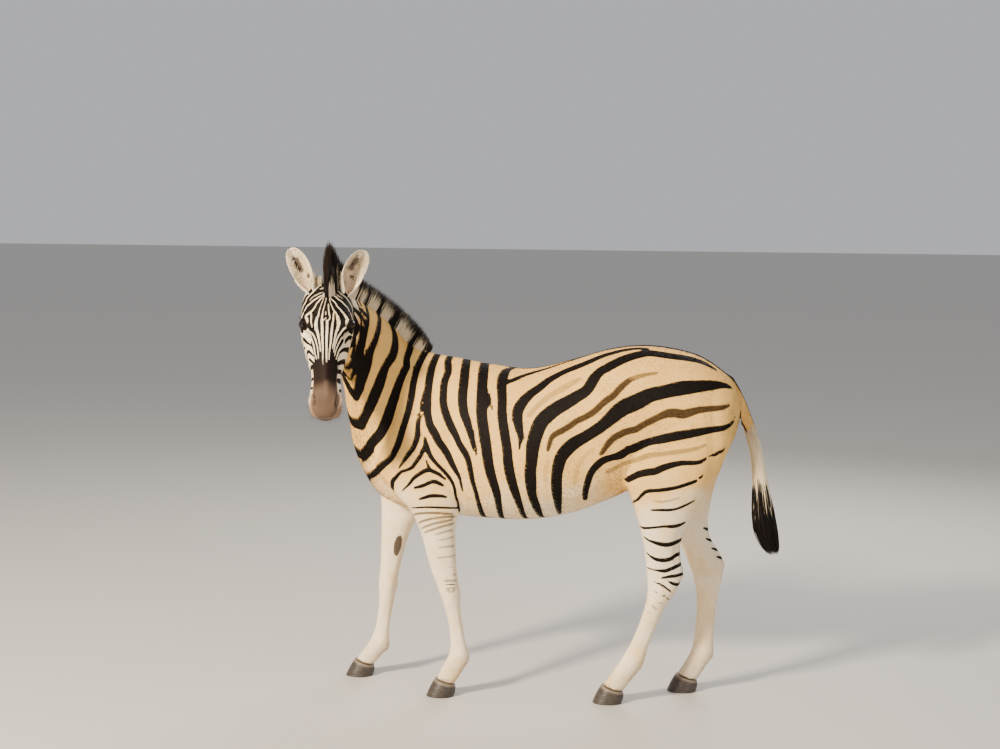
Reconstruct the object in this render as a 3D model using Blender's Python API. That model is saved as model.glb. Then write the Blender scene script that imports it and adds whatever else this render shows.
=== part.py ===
"""A young plains zebra, life size, standing with its head turned to its left. Metres, +Z up.

The animal faces -X and its left side faces -Y. Every form is a loft between two guide lines: the
outline on one side (back, forehead, front of a leg) and the outline on the other (keel, jaw, back
of the leg). One closed body is made from the lofts, and thin cuts part it into the named pieces.
"""

import math

import bmesh
import bpy
import numpy as np
from mathutils import Matrix, Vector

# Driving dimensions
WITHERS_HEIGHT = 1.27
DRAWN_WITHERS = 1.27  # the withers height that the stations below are drawn for
SCALE = WITHERS_HEIGHT / DRAWN_WITHERS
PLACE = Vector((-0.015, 0.138, 0.0))  # puts the middle of the whole box over the origin
GAP = 0.0004  # between neighbouring pieces

# Head pose: the poll's place, then the turns away from a face that hangs straight down
POLL = Vector((-0.720, -0.335, 1.532))
HEAD_YAW = math.radians(13.7)  # from -Y towards the rump
HEAD_PITCH = math.radians(25)  # nose out from straight down
HEAD_ROLL = math.radians(0.9)  # muzzle towards the animal's right

EYE_RADIUS = 0.0205
EYE_PLACE = (0.086, 0.157, 0.004)  # aside, along the face and above the poll line, in the head
EAR_LENGTH = 0.158
EAR_WIDTH = 0.074
EAR_WALL = 0.0045
EAR_CLEARANCE = 0.002
MANE_CLEARANCE = 0.0015
CRUMB_FACES = 20  # a loose sliver has fewer faces than this
# In the head (left, along, out from the face): the ear's foot, the way it stands, the way it opens
EAR_POSES = {
    "ear_left": ((0.066, 0.020, -0.010), (0.36, -0.70, 0.62), (0.35, 0.50, 0.79)),
    "ear_right": ((-0.061, 0.018, -0.012), (-0.45, -0.80, 0.38), (-0.22, 0.36, 0.91)),
}
COAT_LINE = 0.004  # how far the ends of a loft's hidden roots lie under the surface

# Trunk and neck, rump to poll: back (x, y, z), keel (x, y, z), half width, level of the widest
# place from keel 0 to back 1, and how sharp the ring is above and below it (1 is an ellipse)
BODY_STATIONS = [
    ((0.737, 0.000, 1.128), (0.737, 0.000, 1.060), 0.050, 0.50, 0.95, 0.95),
    ((0.715, 0.000, 1.186), (0.722, 0.000, 0.985), 0.108, 0.50, 0.95, 0.95),
    ((0.660, 0.000, 1.238), (0.672, 0.000, 0.900), 0.160, 0.48, 1.00, 0.90),
    ((0.580, 0.000, 1.285), (0.580, 0.000, 0.835), 0.193, 0.48, 1.05, 0.88),
    ((0.475, 0.000, 1.310), (0.470, 0.000, 0.805), 0.208, 0.50, 1.02, 0.88),
    ((0.365, 0.000, 1.316), (0.365, 0.000, 0.785), 0.214, 0.52, 0.98, 0.88),
    ((0.250, 0.000, 1.298), (0.262, 0.000, 0.738), 0.224, 0.48, 0.96, 0.90),
    ((0.115, 0.000, 1.257), (0.120, 0.000, 0.683), 0.238, 0.45, 0.96, 0.92),
    ((-0.030, 0.000, 1.223), (-0.030, 0.000, 0.656), 0.242, 0.44, 0.97, 0.92),
    ((-0.175, 0.000, 1.234), (-0.175, 0.000, 0.656), 0.232, 0.43, 1.02, 0.93),
    ((-0.300, 0.000, 1.256), (-0.325, 0.000, 0.664), 0.206, 0.42, 1.12, 0.94),
    ((-0.400, 0.000, 1.272), (-0.480, 0.000, 0.681), 0.186, 0.42, 1.22, 0.94),
    ((-0.452, 0.000, 1.288), (-0.590, -0.010, 0.728), 0.172, 0.42, 1.22, 0.94),
    ((-0.506, -0.004, 1.325), (-0.648, -0.035, 0.812), 0.152, 0.42, 1.18, 0.95),
    ((-0.560, -0.030, 1.380), (-0.652, -0.080, 0.925), 0.130, 0.43, 1.10, 0.95),
    ((-0.612, -0.085, 1.433), (-0.655, -0.120, 1.040), 0.112, 0.44, 1.06, 0.96),
    ((-0.655, -0.160, 1.476), (-0.675, -0.150, 1.150), 0.100, 0.45, 1.04, 0.97),
    ((-0.685, -0.240, 1.508), (-0.710, -0.170, 1.250), 0.090, 0.46, 1.02, 0.98),
    ((-0.703, -0.315, 1.526), (-0.742, -0.184, 1.335), 0.080, 0.48, 1.00, 0.98),
    ((-0.708, -0.372, 1.500), (-0.742, -0.260, 1.360), 0.060, 0.50, 1.00, 1.00),
]

# Head: forehead line (along, up), jaw line (along, up), half width, level, sharpness above, below
HEAD_STATIONS = [
    ((-0.024, -0.036), (0.000, -0.118), 0.056, 0.62, 0.90, 0.90),
    ((0.002, -0.002), (0.034, -0.166), 0.079, 0.62, 0.92, 0.88),
    ((0.042, 0.021), (0.066, -0.198), 0.091, 0.63, 0.94, 0.82),
    ((0.086, 0.033), (0.100, -0.212), 0.094, 0.66, 0.96, 0.78),
    ((0.124, 0.036), (0.136, -0.211), 0.094, 0.72, 0.95, 0.74),
    ((0.160, 0.033), (0.174, -0.200), 0.093, 0.72, 0.98, 0.74),
    ((0.202, 0.025), (0.214, -0.190), 0.085, 0.66, 0.98, 0.78),
    ((0.250, 0.017), (0.258, -0.170), 0.076, 0.58, 0.94, 0.84),
    ((0.300, 0.010), (0.302, -0.142), 0.065, 0.54, 0.90, 0.86),
    ((0.345, 0.005), (0.345, -0.128), 0.056, 0.54, 0.86, 0.86),
    ((0.390, 0.002), (0.390, -0.122), 0.056, 0.56, 0.84, 0.84),
    ((0.430, -0.005), (0.428, -0.122), 0.058, 0.58, 0.84, 0.82),
    ((0.464, -0.019), (0.458, -0.115), 0.054, 0.56, 0.86, 0.86),
    ((0.484, -0.040), (0.476, -0.094), 0.037, 0.50, 0.95, 0.95),
]

# Swellings and hollows of the head: place (aside, along, up), reach, push (aside, along, up)
HEAD_FORMS = [
    ((0.086, 0.132, 0.024), (0.022, 0.030, 0.016), (0.013, 0.000, 0.006)),  # brow
    ((0.088, 0.157, 0.002), (0.016, 0.021, 0.015), (-0.007, 0.000, 0.000)),  # eye hollow
    ((0.080, 0.196, -0.018), (0.020, 0.034, 0.014), (0.007, 0.000, 0.000)),  # cheek bone
    ((0.076, 0.150, -0.120), (0.030, 0.060, 0.050), (0.010, 0.000, 0.000)),  # jaw muscle
    ((0.060, 0.300, -0.060), (0.030, 0.060, 0.030), (-0.006, 0.000, 0.000)),  # hollow cheek
    ((0.040, 0.452, -0.030), (0.024, 0.026, 0.022), (0.008, 0.004, 0.004)),  # nostril wing
    ((0.046, 0.458, -0.036), (0.008, 0.014, 0.009), (-0.010, -0.006, -0.004)),  # nostril
    ((0.050, 0.455, -0.080), (0.030, 0.026, 0.005), (-0.005, -0.004, 0.000)),  # mouth line
    ((0.000, 0.452, -0.108), (0.030, 0.026, 0.016), (0.000, 0.004, -0.008)),  # chin
]

# Legs, top to coronet: front (x, z), back (x, z), distance from the middle plane, half width
LEG_STATIONS = {
    "foreleg_left": [
        ((-0.500, 1.130), (-0.350, 1.150), 0.090, 0.040),
        ((-0.590, 0.970), (-0.300, 1.010), 0.108, 0.064),
        ((-0.592, 0.850), (-0.258, 0.885), 0.120, 0.074),
        ((-0.520, 0.760), (-0.250, 0.770), 0.124, 0.072),
        ((-0.468, 0.705), (-0.270, 0.705), 0.121, 0.065),
        ((-0.438, 0.650), (-0.286, 0.650), 0.118, 0.057),
        ((-0.417, 0.590), (-0.289, 0.590), 0.115, 0.051),
        ((-0.388, 0.480), (-0.283, 0.480), 0.111, 0.042),
        ((-0.366, 0.422), (-0.277, 0.424), 0.109, 0.039),
        ((-0.349, 0.378), (-0.270, 0.376), 0.108, 0.040),
        ((-0.337, 0.335), (-0.268, 0.335), 0.108, 0.035),
        ((-0.322, 0.282), (-0.262, 0.285), 0.108, 0.027),
        ((-0.312, 0.208), (-0.249, 0.212), 0.108, 0.027),
        ((-0.317, 0.158), (-0.235, 0.152), 0.108, 0.034),
        ((-0.340, 0.112), (-0.256, 0.100), 0.108, 0.031),
        ((-0.364, 0.066), (-0.290, 0.042), 0.108, 0.038),
    ],
    "foreleg_right": [
        ((-0.510, 1.130), (-0.360, 1.150), 0.090, 0.040),
        ((-0.605, 0.970), (-0.320, 1.010), 0.108, 0.064),
        ((-0.628, 0.850), (-0.300, 0.885), 0.120, 0.074),
        ((-0.630, 0.765), (-0.330, 0.745), 0.122, 0.072),
        ((-0.622, 0.690), (-0.420, 0.660), 0.119, 0.065),
        ((-0.619, 0.620), (-0.478, 0.610), 0.116, 0.056),
        ((-0.619, 0.560), (-0.505, 0.555), 0.113, 0.049),
        ((-0.621, 0.460), (-0.532, 0.455), 0.111, 0.041),
        ((-0.625, 0.400), (-0.545, 0.395), 0.109, 0.039),
        ((-0.627, 0.350), (-0.553, 0.345), 0.109, 0.040),
        ((-0.626, 0.305), (-0.560, 0.303), 0.109, 0.034),
        ((-0.631, 0.250), (-0.571, 0.246), 0.109, 0.027),
        ((-0.644, 0.182), (-0.580, 0.172), 0.109, 0.027),
        ((-0.660, 0.142), (-0.580, 0.120), 0.109, 0.034),
        ((-0.688, 0.102), (-0.612, 0.078), 0.109, 0.031),
        ((-0.716, 0.064), (-0.643, 0.038), 0.109, 0.038),
    ],
    "hindleg_left": [
        ((0.330, 1.190), (0.620, 1.190), 0.080, 0.070),
        ((0.300, 1.060), (0.712, 1.090), 0.098, 0.098),
        ((0.298, 0.950), (0.710, 0.985), 0.110, 0.104),
        ((0.312, 0.865), (0.672, 0.890), 0.115, 0.098),
        ((0.340, 0.785), (0.626, 0.800), 0.115, 0.086),
        ((0.368, 0.700), (0.584, 0.715), 0.112, 0.070),
        ((0.385, 0.640), (0.552, 0.655), 0.109, 0.058),
        ((0.397, 0.585), (0.535, 0.600), 0.106, 0.048),
        ((0.404, 0.525), (0.536, 0.545), 0.103, 0.040),
        ((0.410, 0.468), (0.545, 0.494), 0.100, 0.038),
        ((0.413, 0.418), (0.524, 0.428), 0.098, 0.039),
        ((0.405, 0.370), (0.489, 0.374), 0.097, 0.035),
        ((0.384, 0.302), (0.462, 0.310), 0.096, 0.029),
        ((0.352, 0.222), (0.430, 0.226), 0.095, 0.028),
        ((0.318, 0.160), (0.408, 0.152), 0.095, 0.036),
        ((0.284, 0.108), (0.371, 0.094), 0.095, 0.033),
        ((0.254, 0.066), (0.334, 0.040), 0.095, 0.039),
    ],
    "hindleg_right": [
        ((0.330, 1.190), (0.620, 1.190), 0.080, 0.070),
        ((0.300, 1.060), (0.712, 1.090), 0.098, 0.098),
        ((0.305, 0.950), (0.716, 0.985), 0.110, 0.104),
        ((0.335, 0.860), (0.690, 0.885), 0.115, 0.098),
        ((0.378, 0.775), (0.658, 0.790), 0.115, 0.086),
        ((0.428, 0.690), (0.640, 0.700), 0.112, 0.070),
        ((0.472, 0.630), (0.634, 0.640), 0.109, 0.058),
        ((0.508, 0.580), (0.645, 0.588), 0.106, 0.048),
        ((0.540, 0.530), (0.672, 0.545), 0.103, 0.040),
        ((0.562, 0.480), (0.694, 0.500), 0.100, 0.038),
        ((0.580, 0.430), (0.692, 0.440), 0.099, 0.039),
        ((0.590, 0.380), (0.680, 0.385), 0.099, 0.035),
        ((0.592, 0.305), (0.670, 0.308), 0.099, 0.029),
        ((0.587, 0.222), (0.665, 0.226), 0.099, 0.028),
        ((0.576, 0.160), (0.664, 0.150), 0.099, 0.036),
        ((0.550, 0.108), (0.636, 0.094), 0.099, 0.033),
        ((0.524, 0.066), (0.604, 0.040), 0.099, 0.039),
    ],
}

# Hoof: toe and heel on the ground, and the half width of the sole
HOOF_SOLES = {
    "foreleg_left": (-0.397, -0.294, 0.046),
    "foreleg_right": (-0.752, -0.647, 0.046),
    "hindleg_left": (0.221, 0.328, 0.045),
    "hindleg_right": (0.491, 0.598, 0.045),
}
HOOF_NAMES = {leg: "hoof_" + leg.replace("leg", "") for leg in HOOF_SOLES}
LEG_TOP = {"fore": 0.645, "hind": 0.695}  # the level where a leg is parted from the trunk
HIND_BOX_FRONT = 0.205
NECK_CUT_POINT = (-0.60, -0.05, 1.13)
NECK_CUT_NORMAL = (-0.62, -0.30, 0.72)
# The head is parted by a wedge drawn in the head's own side view: (along, up), and its half width
HEAD_WEDGE = [(-0.150, 0.210), (0.124, -0.242), (0.600, -0.242), (0.600, 0.210)]
HEAD_WEDGE_HALF = 0.135

# Mane, forelock to withers: foot (x, y, z), tip (x, y, z), half width at the foot
MANE_STATIONS = [
    ((-0.709, -0.400, 1.484), (-0.712, -0.412, 1.530), 0.008),
    ((-0.709, -0.385, 1.492), (-0.711, -0.397, 1.610), 0.018),
    ((-0.708, -0.362, 1.500), (-0.706, -0.370, 1.680), 0.024),
    ((-0.702, -0.322, 1.504), (-0.690, -0.308, 1.632), 0.027),
    ((-0.688, -0.255, 1.492), (-0.656, -0.232, 1.592), 0.028),
    ((-0.658, -0.178, 1.460), (-0.622, -0.140, 1.552), 0.028),
    ((-0.616, -0.104, 1.418), (-0.572, -0.066, 1.507), 0.027),
    ((-0.566, -0.046, 1.364), (-0.516, -0.014, 1.456), 0.026),
    ((-0.518, -0.012, 1.312), (-0.462, 0.002, 1.402), 0.024),
    ((-0.470, 0.000, 1.276), (-0.425, 0.002, 1.352), 0.020),
    ((-0.428, 0.000, 1.258), (-0.402, 0.000, 1.300), 0.012),
]

# Tail: upper edge (x, z), lower edge (x, z), half width. The dock first, then the brush.
DOCK_STATIONS = [
    ((0.660, 1.225), (0.655, 1.150), 0.030),
    ((0.706, 1.208), (0.690, 1.140), 0.030),
    ((0.752, 1.132), (0.712, 1.085), 0.027),
    ((0.790, 1.040), (0.748, 1.012), 0.023),
    ((0.816, 0.955), (0.777, 0.942), 0.020),
    ((0.832, 0.870), (0.790, 0.866), 0.020),
    ((0.846, 0.800), (0.790, 0.800), 0.022),
]
BRUSH_STATIONS = [
    ((0.846, 0.7992), (0.790, 0.7992), 0.024),
    ((0.860, 0.740), (0.788, 0.738), 0.032),
    ((0.872, 0.690), (0.790, 0.686), 0.034),
    ((0.884, 0.635), (0.802, 0.628), 0.030),
    ((0.892, 0.585), (0.828, 0.572), 0.020),
    ((0.890, 0.552), (0.858, 0.546), 0.008),
]

COLOURS = {
    "coat": (0.66, 0.53, 0.36),
    "mane": (0.09, 0.06, 0.045),
    "brush": (0.03, 0.025, 0.022),
    "ear": (0.70, 0.60, 0.44),
    "hoof": (0.12, 0.10, 0.09),
    "eye": (0.015, 0.010, 0.008),
}
ROUGHNESS = {"eye": 0.08, "hoof": 0.5}


# ---------------------------------------------------------------- general tools


def clear_scene():
    for obj in list(bpy.data.objects):
        bpy.data.objects.remove(obj)


def material(name):
    """A plain Principled finish, one for each kind of surface."""
    found = bpy.data.materials.get(name)
    if found:
        return found
    made = bpy.data.materials.new(name)
    made.use_nodes = True
    shader = made.node_tree.nodes["Principled BSDF"]
    shader.inputs["Base Color"].default_value = (*COLOURS[name], 1.0)
    shader.inputs["Roughness"].default_value = ROUGHNESS.get(name, 0.85)
    shader.inputs["Metallic"].default_value = 0.0
    return made


def flatten(station):
    """A station's nested numbers as one row."""
    row = []
    for value in station:
        row.extend(value if isinstance(value, tuple) else (value,))
    return row


def smooth_rows(stations, steps):
    """Rows on Catmull-Rom curves through the stations, `steps` to each span."""
    rows = np.array([flatten(station) for station in stations])
    padded = np.vstack([2 * rows[0] - rows[1], rows, 2 * rows[-1] - rows[-2]])
    out = []
    for i in range(len(rows) - 1):
        a, b, c, d = padded[i : i + 4]
        for t in np.arange(steps) / steps:
            out.append(
                0.5 * (2 * b + (c - a) * t + (2 * a - 5 * b + 4 * c - d) * t**2
                       + (3 * b - a - 3 * c + d) * t**3)
            )
    out.append(rows[-1])
    return np.array(out)


def rings_between(upper, lower, half_width, level, sharp_up, sharp_down, sides):
    """Closed rings that touch both guide lines; each lies square to the line through the middles."""
    middle = lower + (upper - lower) * level[:, None]
    along = np.gradient(middle, axis=0)
    aside = np.cross(along, upper - lower)
    aside /= np.linalg.norm(aside, axis=1)[:, None]
    turn = 2 * math.pi * np.arange(sides) / sides
    cosine, sine = np.cos(turn), np.sin(turn)
    sharp = np.where(cosine[None, :] >= 0, sharp_up[:, None], sharp_down[:, None])
    reach = np.where(cosine[None, :, None] >= 0, (upper - middle)[:, None], (middle - lower)[:, None])
    out = np.sign(sine)[None, :] * np.abs(sine)[None, :] ** sharp * half_width[:, None]
    return middle[:, None] + reach * cosine[None, :, None] + aside[:, None] * out[:, :, None]


def object_from_rings(name, rings):
    """Bridges the rings, caps both ends and turns the faces outwards."""
    mesh_maker = bmesh.new()
    loops = [[mesh_maker.verts.new(point) for point in ring] for ring in rings]
    sides = len(loops[0])
    for first, second in zip(loops, loops[1:]):
        for i in range(sides):
            j = (i + 1) % sides
            mesh_maker.faces.new((first[i], first[j], second[j], second[i]))
    mesh_maker.faces.new(loops[0])
    mesh_maker.faces.new(loops[-1])
    bmesh.ops.recalc_face_normals(mesh_maker, faces=mesh_maker.faces)
    return object_from(name, mesh_maker)


def object_from(name, mesh_maker):
    mesh = bpy.data.meshes.new(name)
    mesh_maker.to_mesh(mesh)
    mesh_maker.free()
    obj = bpy.data.objects.new(name, mesh)
    bpy.context.scene.collection.objects.link(obj)
    return obj


def evaluated_copy(obj, name):
    """A new object holding obj's mesh as its modifiers leave it."""
    graph = bpy.context.evaluated_depsgraph_get()
    mesh = bpy.data.meshes.new_from_object(obj.evaluated_get(graph))
    made = bpy.data.objects.new(name, mesh)
    bpy.context.scene.collection.objects.link(made)
    return made


def combined(first, second, operation, name):
    """The exact union, difference or intersection of two objects, as a new object."""
    cut = first.modifiers.new(operation.lower(), "BOOLEAN")
    cut.operation = operation
    cut.object = second
    bpy.context.view_layer.update()
    made = evaluated_copy(first, name)
    first.modifiers.remove(cut)
    return made


def replaced(old, new):
    """Drops the old object and gives its name to the new one."""
    name = old.name
    bpy.data.objects.remove(old)
    new.name = name
    return new


def swollen(obj, distance):
    """A copy whose surface is moved out, to cut a neighbour with a gap."""
    copy = bpy.data.objects.new(obj.name + "_clear", obj.data.copy())
    bpy.context.scene.collection.objects.link(copy)
    maker = bmesh.new()
    maker.from_mesh(copy.data)
    bmesh.ops.recalc_face_normals(maker, faces=maker.faces)
    maker.normal_update()
    moves = [vert.normal * distance * min(vert.calc_shell_factor(), 2.0) for vert in maker.verts]
    for vert, move in zip(maker.verts, moves):
        vert.co += move
    maker.to_mesh(copy.data)
    maker.free()
    return copy


def without_crumbs(obj):
    """Drops the loose slivers that a cut along a curved surface can leave, keeping the main piece."""
    maker = bmesh.new()
    maker.from_mesh(obj.data)
    left = set(maker.faces)
    groups = []
    while left:
        waiting = [left.pop()]
        group = list(waiting)
        while waiting:
            for edge in waiting.pop().edges:
                for other in edge.link_faces:
                    if other in left:
                        left.remove(other)
                        group.append(other)
                        waiting.append(other)
        groups.append(group)
    groups.sort(key=len)
    crumbs = [face for group in groups[:-1] if len(group) < CRUMB_FACES for face in group]
    bmesh.ops.delete(maker, geom=crumbs, context="FACES")
    maker.to_mesh(obj.data)
    maker.free()
    return obj


def hull(obj):
    """A convex solid round the object."""
    maker = bmesh.new()
    for vert in obj.data.vertices:
        maker.verts.new(vert.co)
    made = bmesh.ops.convex_hull(maker, input=maker.verts)
    unused = [item for item in made["geom_interior"] if isinstance(item, bmesh.types.BMVert)]
    bmesh.ops.delete(maker, geom=unused, context="VERTS")
    return object_from(obj.name + "_hull", maker)


def cut_away(obj, neighbour, clearance=GAP):
    """Takes the neighbour, with a gap all round it, out of the object."""
    tool = swollen(neighbour, clearance)
    made = without_crumbs(replaced(obj, combined(obj, tool, "DIFFERENCE", obj.name + "_cut")))
    bpy.data.objects.remove(tool)
    return made


def box(name, low, high):
    maker = bmesh.new()
    middle = (Vector(low) + Vector(high)) / 2
    size = Vector(high) - Vector(low)
    bmesh.ops.create_cube(maker, size=1.0, matrix=Matrix.Translation(middle) @ Matrix.Diagonal((*size, 1)))
    return object_from(name, maker)


def parted(obj, point, normal, front_name):
    """Splits the object at a plane: what lies in front gets front_name, and a thin gap is left."""
    normal = Vector(normal).normalized()
    pieces = []
    for name, side in ((front_name, 1), (obj.name, -1)):
        maker = bmesh.new()
        maker.from_mesh(obj.data)
        done = bmesh.ops.bisect_plane(
            maker,
            geom=maker.verts[:] + maker.edges[:] + maker.faces[:],
            plane_co=Vector(point) + normal * GAP / 2 * side,
            plane_no=normal,
            clear_inner=side > 0,
            clear_outer=side < 0,
        )
        rim = [item for item in done["geom_cut"] if isinstance(item, bmesh.types.BMEdge)]
        bmesh.ops.holes_fill(maker, edges=rim)
        bmesh.ops.recalc_face_normals(maker, faces=maker.faces)
        pieces.append(object_from(name + "_part", maker))
    bpy.data.objects.remove(obj)
    for piece in pieces:
        piece.name = piece.name.removesuffix("_part")
    return pieces


# ---------------------------------------------------------------- forms


def head_axes():
    """The head's directions: its left, along the face to the muzzle, and out from the forehead."""
    facing = Vector((math.sin(HEAD_YAW), -math.cos(HEAD_YAW), 0))
    left = Vector((0, 0, 1)).cross(facing)
    along = facing * math.sin(HEAD_PITCH) - Vector((0, 0, 1)) * math.cos(HEAD_PITCH)
    out = along.cross(left)
    roll = Matrix.Rotation(-HEAD_ROLL, 3, facing)
    return roll @ left, roll @ along, roll @ out


def from_head(aside, along, up):
    """World points of head places: aside to the animal's left, along the face, up from it."""
    left, down_face, out = (np.array(axis) for axis in head_axes())
    aside, along, up = (np.asarray(value, float)[..., None] for value in (aside, along, up))
    return np.array(POLL) + aside * left + along * down_face + up * out


def body_form():
    rows = smooth_rows(BODY_STATIONS, 2)
    rings = rings_between(rows[:, 0:3], rows[:, 3:6], *rows[:, 6:10].T, sides=24)
    return object_from_rings("trunk", rings)


def push_forms(points):
    """Adds the head's swellings and hollows to points held as (aside, along, up), on both sides."""
    moved = points.copy()
    for place, reach, push in HEAD_FORMS:
        for side in (1, -1):
            mirror = np.array([side, 1, 1])
            near = np.exp(-((((points - np.array(place) * mirror) / reach) ** 2).sum(-1)))
            moved += near[..., None] * np.array(push) * mirror
    return moved


def head_form():
    rows = smooth_rows(HEAD_STATIONS, 2)
    zeros = np.zeros(len(rows))
    upper = np.column_stack([zeros, rows[:, 0], rows[:, 1]])
    lower = np.column_stack([zeros, rows[:, 2], rows[:, 3]])
    rings = push_forms(rings_between(upper, lower, *rows[:, 4:8].T, sides=24))
    return object_from_rings("head", from_head(rings[..., 0], rings[..., 1], rings[..., 2]))


def side_of(name):
    """-1 for the animal's left, which faces -Y, and 1 for its right."""
    return -1 if name.endswith("left") else 1


def leg_guides(leg):
    """The leg's front and back lines, and its half widths, one row to a ring."""
    rows = smooth_rows(LEG_STATIONS[leg], 2)[:-1]
    rows = np.vstack([rows, flatten(LEG_STATIONS[leg][-1])])
    aside = rows[:, 4] * side_of(leg)
    front = np.column_stack([rows[:, 0], aside, rows[:, 1]])
    back = np.column_stack([rows[:, 2], aside, rows[:, 3]])
    return front, back, rows[:, 5]


def leg_form(leg):
    front, back, half = leg_guides(leg)
    count = len(half)
    ones = np.ones(count)
    rings = rings_between(front, back, half, 0.5 * ones, 0.92 * ones, 0.92 * ones, sides=14)
    return object_from_rings(leg, rings)


def hoof_form(leg):
    """A hoof: coronet ring, slightly bulging wall, flat sole and a rounded heel."""
    front, back, half = (values[-1] for values in leg_guides(leg))
    toe, heel, sole_half = HOOF_SOLES[leg]
    aside = front[1]
    drop = np.array([0, 0, -GAP])
    sole = (np.array([toe, aside, 0]), np.array([heel, aside, 0]))
    upper = np.array([front + drop, front * 0.45 + sole[0] * 0.55, sole[0]])
    lower = np.array([back + drop, back * 0.45 + sole[1] * 0.55, sole[1]])
    halves = np.array([half, half * 0.4 + sole_half * 0.6, sole_half])
    turn = 2 * math.pi * np.arange(16) / 16
    cosine, sine = np.cos(turn), np.sin(turn)
    middle = (upper + lower) / 2
    reach = (upper - lower) / 2
    rings = (
        middle[:, None]
        + reach[:, None] * (np.sign(cosine) * np.abs(cosine) ** 0.92)[None, :, None]
        + np.array([0, 1, 0]) * (halves[:, None] * np.sign(sine) * np.abs(sine) ** 0.92)[..., None]
    )
    return object_from_rings(HOOF_NAMES[leg], rings)


def ear_form(name):
    """A pricked ear: a leaf rolled into a funnel at its foot, open to the front, as a thin shell."""
    up_steps, round_steps = 8, 10
    t = np.linspace(0, 1, up_steps)[:, None]
    across = np.linspace(-1, 1, round_steps)[None, :]
    half = EAR_WIDTH / 2 * (0.50 + 1.35 * t - 0.75 * t**2) * np.sqrt(np.clip(1.0 - t**3.2, 0.004, 1))
    wrap = math.radians(90) * (1 - t) ** 2.5 + math.radians(60)
    angle = across * wrap
    sideways = half * np.sin(angle) / np.maximum(np.sin(np.minimum(wrap, math.pi / 2)), 0.5)
    depth = half * (np.cos(angle) - np.cos(wrap) * t) * (1.0 - 0.25 * t)
    foot, lean, open_way = (np.array(value) for value in EAR_POSES[name])
    lean /= np.linalg.norm(lean)
    open_way -= lean * (open_way @ lean)
    open_way /= np.linalg.norm(open_way)
    cross_way = np.cross(lean, open_way)
    places = (
        foot
        + lean * (EAR_LENGTH * t[..., None] + 0 * across[..., None])
        + cross_way * sideways[..., None]
        - open_way * depth[..., None]
    )
    world = from_head(places[..., 0], places[..., 1], places[..., 2])
    maker = bmesh.new()
    verts = [[maker.verts.new(point) for point in row] for row in world]
    for low, high in zip(verts, verts[1:]):
        for i in range(round_steps - 1):
            maker.faces.new((low[i], low[i + 1], high[i + 1], high[i]))
    bmesh.ops.recalc_face_normals(maker, faces=maker.faces)
    sheet = object_from(name, maker)
    shell = sheet.modifiers.new("wall", "SOLIDIFY")
    shell.thickness = EAR_WALL
    shell.offset = 0.0
    bpy.context.view_layer.update()
    return replaced(sheet, evaluated_copy(sheet, name + "_shell"))


def eye_form(name):
    maker = bmesh.new()
    aside, along, up = EYE_PLACE
    place = Vector(from_head(-side_of(name) * aside, along, up))
    bmesh.ops.create_icosphere(maker, subdivisions=2, radius=EYE_RADIUS, matrix=Matrix.Translation(place))
    return object_from(name, maker)


def mane_form():
    """The upright mane: a blade that stands on the crest, thick at its foot and thin at its edge."""
    rows = smooth_rows(MANE_STATIONS, 2)
    foot, tip, half = rows[:, 0:3], rows[:, 3:6], rows[:, 6]
    level = np.full(len(rows), 0.30)
    return object_from_rings(
        "mane", rings_between(tip, foot, half, level, 0 * level + 1.0, 0 * level + 0.7, sides=10)
    )


def tail_form(name, stations):
    rows = smooth_rows(stations, 2)
    zeros = np.zeros(len(rows))
    upper = np.column_stack([rows[:, 0], zeros, rows[:, 1]])
    lower = np.column_stack([rows[:, 2], zeros, rows[:, 3]])
    ones = np.ones(len(rows))
    return object_from_rings(name, rings_between(upper, lower, rows[:, 4], 0.5 * ones, ones, ones, 10))


# ---------------------------------------------------------------- putting it together


def whole_body():
    """Trunk, neck, head and the four legs as one closed body."""
    body = body_form()
    for maker in [head_form] + [lambda leg=leg: leg_form(leg) for leg in LEG_STATIONS]:
        form = maker()
        body = replaced(body, combined(body, form, "UNION", "joined"))
        bpy.data.objects.remove(form)
    return body


def part_legs(body):
    """Takes each leg off below its level, with a box that reaches from the middle plane outwards."""
    far = 2.0
    for leg in LEG_STATIONS:
        top = LEG_TOP["fore" if leg.startswith("fore") else "hind"]
        front, back = (-far, 0.0) if leg.startswith("fore") else (HIND_BOX_FRONT, far)
        sides = sorted((0.0, side_of(leg) * far))
        inner = box("inner", (front, sides[0], -far), (back, sides[1], top))
        outer = box("outer", (front - GAP, sides[0] - GAP, -far), (back + GAP, sides[1] + GAP, top + GAP))
        piece = combined(body, inner, "INTERSECT", leg)
        body = replaced(body, combined(body, outer, "DIFFERENCE", "rest"))
        piece.name = leg
        bpy.data.objects.remove(inner)
        bpy.data.objects.remove(outer)
    return body


def head_wedge():
    """The solid that parts head from neck, on a line from the poll to the throat."""
    along, up = np.array(HEAD_WEDGE).T
    sides = [from_head(np.full(len(along), aside), along, up) for aside in (-HEAD_WEDGE_HALF, HEAD_WEDGE_HALF)]
    return object_from_rings("wedge", np.array(sides))


def finish(obj, kind):
    """Material, size and place, with soft shading across the facets."""
    obj.data.transform(Matrix.Scale(SCALE, 4))
    obj.data.materials.clear()
    obj.data.materials.append(material(kind))
    obj.data.shade_smooth()
    obj.location = PLACE * SCALE


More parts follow.
